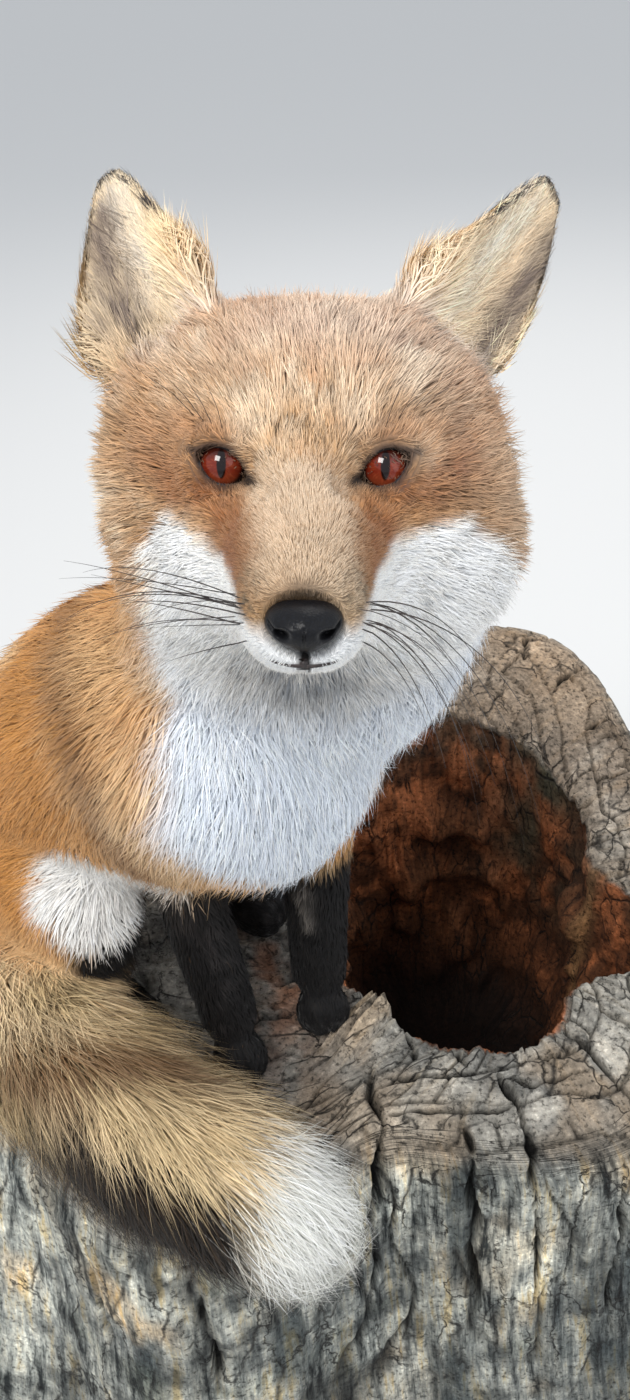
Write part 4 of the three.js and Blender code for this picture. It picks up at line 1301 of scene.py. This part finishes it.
def stump_rings(a):
    """The solid's rings, from the floor's edge up the outside, over the top and down the hollow."""
    bearing = np.arctan2(HUB[1] + HALF_WIDTH * np.sin(a), HUB[0] + HALF_WIDTH * np.cos(a))
    rise = hump(bearing, 60, 44, 46)

    def outer(z, inset, share):
        depth = max(0, 1 - z / TOP)
        out = FLARE * depth**1.6 - inset
        front = hump(bearing, -112, 20, 0.08) + hump(bearing, -82, 13, -0.13) + hump(bearing, -52, 18, 0.09)
        rear = hump(bearing, 43, 19, 0.18) + hump(bearing, 165, 25, 0.05)
        root = hump(bearing, -143, 22, 0.16) * depth
        ribs = 0.012 * np.sin(7 * bearing + 1.3) + 0.009 * np.sin(11 * bearing + 4.0)
        size = 1 + front + rear + root + ribs * (1 + 2 * depth)
        return xyz((HALF_WIDTH * size + out) * np.cos(bearing), (HALF_DEPTH * size + out) * np.sin(bearing),
                   z + share * rise)

    def inner(z, outset, share):
        size = 1 + 0.04 * np.sin(3 * a + 0.4) + 0.03 * np.sin(5 * a + 1.9) + 0.02 * np.sin(9 * a)
        size = size + hump(a, -24, 16, 0.34) + hump(a, 4, 10, -0.13) + hump(a, 36, 14, 0.07)
        return xyz(HUB[0] + (HOLLOW[0] * size + outset) * np.cos(a), HUB[1] + (HOLLOW[1] * size + outset) * np.sin(a),
                   z + share * rise)

    # Each ring, with the number of steps to it from the one before.
    rings = [(outer(0, 0, 0), 0), (outer(TOP * 0.12, 0, 0), 6), (outer(TOP * 0.35, 0, 0), 13),
             (outer(TOP * 0.65, 0, 0.3), 26), (outer(TOP - EDGE, 0, 0.85), 34),
             (outer(TOP - EDGE * 0.3, EDGE * 0.3, 1), 9), (outer(TOP, EDGE, 1), 10), (inner(TOP, LIP, 1), 46),
             (inner(TOP - LIP, 0, 0.95), 4), (inner(TOP * 0.6, -6, 0.3), 34), (inner(FLOOR + 25, -18, 0), 15),
             (inner(FLOOR, -45, 0), 5), (np.broadcast_to([HUB[0], HUB[1], FLOOR], (len(a), 3)), 8)]
    rows, kinds = [rings[0][0]], [0]
    for n in range(1, len(rings)):
        (start, _), (end, count) = rings[n - 1], rings[n]
        for k in range(1, count + 1):
            rows.append(start + (end - start) * k / count)
            kinds.append(n - 1 + k / count)
    points = np.stack(rows)
    for _ in range(3):
        points[1:-1] = points[1:-1] * 0.5 + (points[:-2] + points[2:]) * 0.25
    return points, np.array(kinds)


# The large cracks, over the top and down the sides: width, depth, then points; those of two numbers are on the top.
CRACKS = [
    (4.2, 12, (30, -150), (27, -176), (33, -196, 318), (28, -216, 305), (24, -228, 255), (27, -234, 215),
     (18, -238, 170)),
    (5.0, 15, (76, -196), (78, -212, 314), (77, -222, 290), (80, -228, 262), (77, -231, 230), (83, -236, 190),
     (79, -240, 135)),
    (3.6, 12, (100, -166), (103, -178), (108, -190), (110, -204, 319), (113, -216, 314), (112, -228, 292),
     (115, -233, 250), (118, -238, 205), (115, -242, 158)),
    (2.6, 8, (52, -132), (55, -146), (56, -160)),
    (2.8, 8, (79, -140), (80, -153), (84, -166)),
    (3.2, 9, (139, -128), (147, -146), (157, -160), (168, -186), (178, -204, 314), (186, -214, 290)),
    (2.4, 6, (28, -167), (46, -169), (62, -170), (84, -168), (102, -172)),
    (2.2, 6, (33, -192), (52, -190), (74, -193), (96, -195), (110, -191)),
    (2.2, 6, (104, -172), (118, -180), (134, -176), (156, -172)),
    (4.0, 12, (-72, -243, 300), (-76, -256, 250), (-70, -264, 200), (-80, -272, 130)),
    (3.6, 10, (-128, -228, 290), (-136, -240, 225), (-130, -250, 150)),
    (3.0, 9, (160, -226, 300), (168, -232, 240), (163, -238, 180), (170, -244, 110)),
    (3.2, 9, (214, 92, 352), (236, 104, 352), (262, 124, 352), (276, 130, 335)),
    (3.0, 8, (196, 130, 358), (214, 150, 358), (240, 170, 356)),
    (3.0, 8, (182, 168, 362), (190, 196, 362), (202, 222, 360)),
    (3.0, 8, (222, 60, 346), (250, 66, 344), (282, 78, 330)),
    (4.0, 12, (-150, 130, 322), (-190, 150, 322), (-232, 168, 318), (-246, 176, 260)),
    (4.5, 13, (-60, 190, 330), (-70, 225, 330), (-78, 246, 300), (-80, 256, 200)),
    (4.0, 12, (60, 180, 360), (58, 220, 358), (56, 250, 330), (60, 262, 220)),
    (4.5, 13, (-210, -40, 318), (-240, -52, 312), (-262, -60, 250), (-270, -62, 160)),
]


def crack_field(points, normals):
    """How far in each crack cuts, and how dark it is. The lines wander with a little noise."""
    wander = xyz(noise(points, 22, 31), noise(points, 22, 32), noise(points, 30, 33)) * 2.4
    wander += xyz(noise(points, 6, 34), noise(points, 6, 35), noise(points, 9, 36)) * 1.1
    p = points + wander
    cut, dark = np.zeros(len(p)), np.zeros(len(p))
    for width, depth, *line in CRACKS:
        line = np.array([(*point, TOP)[:3] for point in line], float)
        near = np.flatnonzero(((p > line.min(0) - 14) & (p < line.max(0) + 14)).all(1))
        if not len(near):
            continue
        q, n_q = p[near], normals[near]
        best, at = np.full(len(q), 1e9), np.zeros(len(q))
        for n in range(len(line) - 1):
            ab = line[n + 1] - line[n]
            t = np.clip((q - line[n]) @ ab / (ab @ ab), 0, 1)
            off = q - line[n] - t[:, None] * ab
            d = norm(off - 0.9 * dot(off, n_q)[:, None] * n_q)
            closer = d < best
            best[closer], at[closer] = d[closer], ((n + t) / (len(line) - 1))[closer]
        taper = smooth(0, 0.15, at) * smooth(1, 0.8, at) * (0.75 + 0.35 * np.sin(at * 17 + line[0, 0]))
        half = width / 2 * np.clip(taper, 0.1, 1.2)
        value = np.exp(-((best / (half + 0.35)) ** 4))
        cut[near] = np.maximum(cut[near], value * depth * np.clip(taper, 0, 1))
        dark[near] = np.maximum(dark[near], value * np.clip(taper * 1.5, 0, 1))
    return cut, dark


def courses(u, v, width, height, seed):
    """Distance to the edges of a wall of uneven blocks laid in courses, and a number for each block."""
    warp = xyz(u, v, 0.0)
    u = u + noise(warp, 26, seed) * 7 + noise(warp, 9, seed + 1) * 2.4
    v = v + noise(warp, 34, seed + 2) * 8 + noise(warp, 10, seed + 3) * 2.0
    row = np.floor(v / height)
    zero = np.zeros(len(u), np.int64)
    u = u + hashed(row, zero, zero, seed) * width * 3
    column = np.floor(u / width)
    in_u, in_v = u - column * width, v - row * height
    left, right = ((hashed(column + n, row, zero, seed + 4) - 0.5) * width * 0.4 for n in (0, 1))
    du = np.minimum(np.abs(in_u - left), np.abs(width + right - in_u))
    return du, np.minimum(in_v, height - in_v), hashed(column, row, zero, seed + 5)


def stump():
    columns = 580
    # More columns where the camera sees the wall.
    fine = np.linspace(0, 2 * math.pi, 4001)
    density = 1 + hump(fine, -90, 48, 2.4) + hump(fine, 60, 60, 1.1)
    walked = np.concatenate([[0], np.cumsum((density[1:] + density[:-1]) / 2)])
    a = np.interp(np.arange(columns) / columns * walked[-1], walked, fine)
    grid, kinds = stump_rings(a)
    rows = len(grid)
    p = grid.reshape(-1, 3)
    z = p[:, 2]
    kind, angle = np.repeat(kinds, columns), np.tile(a, rows)
    degrees, around = np.degrees(angle), angle * GIRTH
    n = unit(np.cross(np.roll(grid, -1, 1) - np.roll(grid, 1, 1), np.gradient(grid, axis=0))).reshape(-1, 3)
    n[-columns * 3:] = [0, 0, 1]
    along = np.cumsum(np.linalg.norm(np.diff(grid, axis=0, prepend=grid[:1]), axis=2), axis=0).ravel()
    radius = np.hypot(p[:, 0] - HUB[0], p[:, 1] - HUB[1])
    flow = np.stack([around, along, radius * 0.2], 1)
    # The rings count from 0 at the foot: the top lies between 4 and 7, the hollow's wall from 7 to 11.
    wall = smooth(5.2, 4.2, kind)
    top = smooth(4.4, 5.8, kind) * smooth(7.9, 7.2, kind)
    floor = smooth(10.6, 11.2, kind)

    def grain(size, seed, octaves=0):
        """Noise drawn out along the fibres: round, along and out."""
        return fractal(flow, np.array(size), seed, octaves) if octaves else noise(flow, np.array(size), seed)

    def edge_noise(size, seed):
        return noise(xyz(around, 0.0, 0.0), size, seed)

    # Plain weathering: broad lumps, then fibres that run up the outside, out over the top and down the hollow.
    strand, pitted = grain((3.4, 34, 40), 48, 3), fractal(p, 11, 52, 3)
    fibre = 1 - np.abs(grain((9, 110, 60), 44, 3)) * 2
    inwards = (2.4 + 3.0 * fractal(p, 95, 41, 3)) * wall + 1.4 * top
    inwards += wall * (1.9 * (1 - smooth(0.2, 1, fibre)) + 1.1 * strand + 0.8 * pitted)
    groove = np.abs(noise(flow + xyz(fractal(p, 60, 57, 2) * 14, 0.0, 0.0), np.array([26, 240, 100]), 58))
    grooves = bell(groove, 0, 0.045) * smooth(-0.15, 0.35, grain((60, 90, 100), 59))
    inwards += wall * grooves * 4.5
    inwards += top * (1.0 * pitted + 1.1 * np.maximum(fractal(p, 34, 61, 3), -0.2))

    # End grain breaks into blocks round the rim, and smaller ones flake the outside, most of all near the top.
    du, dv, piece = courses(around, along, 36, 27, 70)
    gap = bell(du, 0, 1.2) * smooth(-0.45, 0.05, grain((50, 40, 60), 72)) + 0.85 * bell(dv, 0, 1.1) \
        * smooth(0.0, 0.35, piece)
    gap = np.clip(gap, 0, 1) * top
    inwards += gap * 4.2 + top * (piece - 0.35) * 2.2
    du, dv, flake = courses(around, along, 13, 19, 76)
    upper = (0.45 + 0.55 * smooth(3.0, 3.9, kind)) * wall
    gap_2 = 0.6 * bell(du, 0, 0.8) + bell(dv, 0, 0.8) * smooth(0.3, 0.8, flake)
    gap_2 = np.clip(gap_2, 0, 1) * upper * smooth(-0.35, 0.2, grain((34, 50, 60), 78))
    inwards += 1.5 * gap_2 + (flake - 0.5) * 1.1 * upper

    # The hollow's wall is rotten: deep chunks and hanging fibres.
    chunk, lump = fractal(p, np.array([30, 30, 46]), 80, 4), np.abs(fractal(p, np.array([40, 40, 52]), 86, 3))
    shreds = 1 - np.abs(grain((8, 70, 60), 84, 3)) * 2
    inwards += smooth(7.2, 8.2, kind) * (1 - floor) * (
        9.0 * chunk + 2.6 * (1 - shreds) + 2.6 * pitted + 4.0 - 16 * smooth(0.12, 0.5, lump) * smooth(300, 250, z))
    inwards += floor * (9 * fractal(p, 38, 88, 4) - 3)
    cut, dark = crack_field(p, n)
    inwards += cut
    # Between the forefeet and the body the top is crumbled, and its colour there is darkened with painted shade under
    # the fox.
    crumbled_and_shaded = bell(p[:, 0] - SEAT[0], -2, 34, p[:, 1] - SEAT[1], 62, 62) * top
    crumbs = fractal(p, 17, 90, 4)
    inwards += crumbled_and_shaded * (2.5 + 5.0 * crumbs)
    moved = p - n * inwards[:, None]

    # The rim is ragged, and a broken prong stands up on it beside the left forefoot.
    rim = smooth(6.7, 7.0, kind) * smooth(8.25, 7.6, kind)
    ragged = fractal(xyz(around, 0.0, 0.0), 17, 92, 4)
    moved[:, 2] += rim * (5.5 * ragged + 2.2 * edge_noise(5, 97) - 1.5)
    out = unit(p - [HUB[0], HUB[1], 0])
    moved[:, :2] += (rim * (5.0 * edge_noise(24, 99) - 1))[:, None] * out[:, :2]
    off = bearing_off(degrees, -128)
    prong = smooth(4.6, 3.6, np.abs(off)) * (1 - 0.75 * smooth(1.1, 0.2, np.abs(off + 0.8)))
    prong *= smooth(6.62, 6.86, kind) * smooth(8.25, 7.6, kind)
    moved[:, 2] += prong * (14 + 5 * edge_noise(2.6, 103))
    moved[:, 2] = np.where(kind < 0.02, 0, np.maximum(moved[:, 2], np.where(kind > 10.9, 40, 0.4)))

    # Colour: grey weathered outside, warmer on the end grain.
    slate, black = srgb(52, 58, 60), srgb(10, 9, 9)
    patch, blotch, streak = fractal(p, 70, 110, 4), fractal(p, 24, 112, 4), grain((14, 170, 90), 118, 4)
    soot = smooth(0.0, 0.38, streak + 0.25 * blotch) * wall * (0.45 + 0.55 * smooth(0.1, -0.35, patch))
    soot = soot + 0.7 * bell(p[:, 0], 72, 17) * smooth(-180, -210, p[:, 1]) * wall * smooth(-0.5, 0.3, streak)
    tone = paint(
        srgb(134, 132, 126),
        (srgb(174, 170, 160), smooth(-0.1, 0.4, patch) * 0.85),
        (srgb(204, 198, 186), smooth(0.10, 0.42, blotch) * 0.7),
        (srgb(58, 60, 60), smooth(0.06, 0.42, -blotch) * (0.40 + 0.40 * wall)),
        (srgb(182, 154, 120), smooth(0.15, 0.5, fractal(p, np.array([48, 48, 80]), 114, 3)) * (0.35 + 0.15 * wall)),
        (slate, np.clip(soot, 0, 0.85)),
        (srgb(92, 96, 76), smooth(0.25, 0.6, fractal(p, 58, 122, 3)) * 0.3 * wall))
    tone = tone * (1 + wall[:, None] * np.array([0.70, 0.82, 0.88]))
    warm = top * np.clip(hump(angle, 55, 46, 1.1), 0, 1)
    tone = paint(tone, (srgb(178, 148, 116), warm * (0.55 + 0.3 * patch)))
    tone = tone * (1 + 0.20 * (piece - 0.5) * top + 0.16 * strand * wall + 0.10 * pitted)[:, None]
    # Shade settles in hollows of the surface.
    tone = tone * (1 - 0.45 * np.clip(grain((5, 60, 60), 126, 2), 0, 1) * wall)[:, None]
    # Within it is red rot, with mould, a pale splinter and a lighter rim; the paler rot lies higher up, partly painted
    # light, and painted shade darkens it towards the floor and in the recess.
    light = 1 + 0.5 * pitted[:, None]
    splinter = bell(bearing_off(degrees, -1), 0, 2.2) * smooth(150, 200, z)
    mould = np.clip(hump(angle, 38, 22, 1.0), 0, 1) * smooth(170, 230, z)
    recess_shade = smooth(-3, -6, degrees) * smooth(-60, -48, degrees)
    red = paint(
        srgb(98, 60, 38) * light,
        (srgb(188, 116, 74), smooth(-0.1, 0.35, -chunk + 0.5 * pitted) * smooth(110, 200, z)),
        (srgb(150, 98, 64), smooth(0.15, 0.5, lump) * smooth(110, 180, z) * smooth(300, 250, z) * (0.6 + 0.5 * pitted)),
        (srgb(88, 84, 68) * light, mould * smooth(-0.5, 0.2, fractal(p, 40, 130, 3))),
        (srgb(176, 134, 92) * (1 + 0.3 * pitted[:, None]), splinter * 0.9),
        (srgb(128, 112, 92), smooth(8.4, 7.8, kind) * smooth(-0.3, 0.3, ragged) * 0.6),
        # painted shade towards the floor and in the recess
        (black, smooth(150, 75, z) * 0.9),
        (black, recess_shade * smooth(322, 308, z) * 0.94))
    inside = smooth(7.35, 7.9, kind)
    tone = paint(
        tone,
        (red, inside),
        # crumbled rot, darkened with painted shade under the fox
        (srgb(124, 78, 50), crumbled_and_shaded * smooth(-0.3, 0.2, crumbs) * 0.9),
        (srgb(40, 26, 20), crumbled_and_shaded * smooth(0.0, 0.5, -crumbs) * 0.9),
        (black, np.clip(dark + gap * 0.8 + gap_2 * 0.6 + wall * grooves * 0.75, 0, 0.98)))
    tone = tone * (1 + 0.26 * (flake - 0.5) * upper)[:, None]
    tone = paint(tone, (srgb(190, 168, 140), np.clip(prong * 0.6, 0, 0.6)))

    faces = grid_faces(rows, columns)
    wood = mesh_object("stump_wood", moved, facing(moved, faces, n[faces[:, 0]]), tone,
                       extra={"Around": around * MM * 10, "Along": along * MM * 10,
                              "Endgrain": np.maximum(top, 0.85 * inside)})
    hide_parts("stump")
    finish(wood, wood_material(), "weathered_wood")


def wood_material():
    s = Shader("weathered_wood", Roughness=0.86, Specular_IOR_Level=0.25)
    u, v, end = s.attribute("Around"), s.attribute("Along"), s.attribute("Endgrain")

    def stretched(across, along, scale, detail, roughness):
        return s.noise(scale, detail, roughness, s.at(s.times(u, across), s.times(v, along)))

    # Fibres along the wall and rings round the end grain, broken by crumbs, pits and pale chips.
    fibres = s.between(end, stretched(34.0, 2.6, 1.6, 5.0, 0.62), stretched(1.2, 22.0, 1.5, 4.0, 0.6))
    both = s.between(s.between(end, 0.55, 0.28), s.noise(230, 6, 0.72), fibres)
    light = s.ramp(both, (0.32, grey(0.26)), (0.46, grey(0.78)), (0.58, grey(1.06)), (0.72, grey(1.48)))
    chips = s.ramp(s.noise(310, 5, 0.65), (0.37, grey(0.30)), (0.45, grey(0.96)), (0.57, grey(1.0)), (0.66, grey(1.5)))
    # Long streaks of soot, straw and pale fibre run down the wall.
    bands = s.ramp(stretched(11.0, 0.9, 1.0, 7.0, 0.72), (0.37, srgb(52, 58, 62)), (0.46, srgb(190, 192, 192)),
                   (0.54, srgb(255, 252, 246)), (0.62, srgb(255, 232, 190)))
    bands = s.mix(s.times(end, 0.75), bands, (1, 1, 1, 1))
    # Fine cracks part the surface into blocks: squarish on the end grain, tall on the wall.
    drift = s.times(s.noise(60, 5), 0.8)
    cell = {"Vector": s.at(s.math("ADD", s.times(u, s.between(end, 4.6, 3.4)), drift),
                           s.math("ADD", s.times(v, s.between(end, 0.9, 4.4)), drift)),
            "Scale": 1.0, "Randomness": 0.9}
    edges = s.node("TexVoronoi", cell, feature="DISTANCE_TO_EDGE").outputs["Distance"]
    width = s.times(s.noise(22, 2), s.between(end, 0.055, 0.075))
    rough = s.times(s.math("SUBTRACT", s.noise(420, 3), 0.5), 0.03)
    gap = s.math("DIVIDE", s.math("ADD", edges, rough), width)
    present = s.first(s.ramp(s.noise(26, 3), (0.42, grey(0.0)), (0.56, grey(1.0))))
    crack = s.times(s.math("SUBTRACT", 1.0, gap, clamp=True), present)
    shade = s.ramp(s.first(s.node("TexVoronoi", cell).outputs["Color"]), (0.0, grey(0.80)), (1.0, grey(1.18)))
    colour = s.tint()
    for layer in (light, chips, bands):
        colour = s.mix(1.0, colour, layer, "MULTIPLY")
    colour = s.mix(s.times(crack, 0.88), colour, (0.012, 0.011, 0.010, 1))
    s.base(s.mix(1.0, colour, shade, "MULTIPLY"))
    flecks = s.node("TexVoronoi", {"Vector": s.place(), "Scale": 300.0}).outputs["Distance"]
    s.bump(s.math("SUBTRACT", s.math("ADD", both, s.times(flecks, 0.12)), s.times(crack, 0.7)), 0.0026, 1.0)
    return s.material


stump()


# ---- Stage and light ----
def stage():
    mesh = bpy.data.meshes.new("floor")
    mesh.from_pydata([(-40, -40, 0), (40, -40, 0), (40, 40, 0), (-40, 40, 0)], [], [(0, 1, 2, 3)])
    floor = added("floor", mesh)
    mesh.materials.append(Shader("floor", Roughness=0.9, Base_Color=(0.68, 0.68, 0.67, 1)).material)
    world = bpy.data.worlds.new("world")
    world.use_nodes = True
    background = world.node_tree.nodes["Background"].inputs
    background["Color"].default_value, background["Strength"].default_value = (0.90, 0.94, 1.0, 1), 0.80
    bpy.context.scene.world = world
    for name, at, size, power, colour in (
            ("window", (-0.75, -1.55, 2.85), 1.0, 64, (1.0, 0.98, 0.95)),
            ("fill", (1.9, -1.0, 1.5), 2.4, 15, (0.95, 0.97, 1.0)),
            ("back", (0.6, 2.0, 2.2), 1.4, 20, (1.0, 0.97, 0.93))):
        data = bpy.data.lights.new(name, "AREA")
        data.shape, data.size, data.energy, data.color = "SQUARE", size, power, colour
        lamp = added(name, data)
        lamp.location = at
        lamp.rotation_euler = Vector(np.array([0.0, -0.1, 0.5]) - at).to_track_quat("-Z", "Y").to_euler()


stage()

bpy.context.scene.view_settings.view_transform = "Standard"
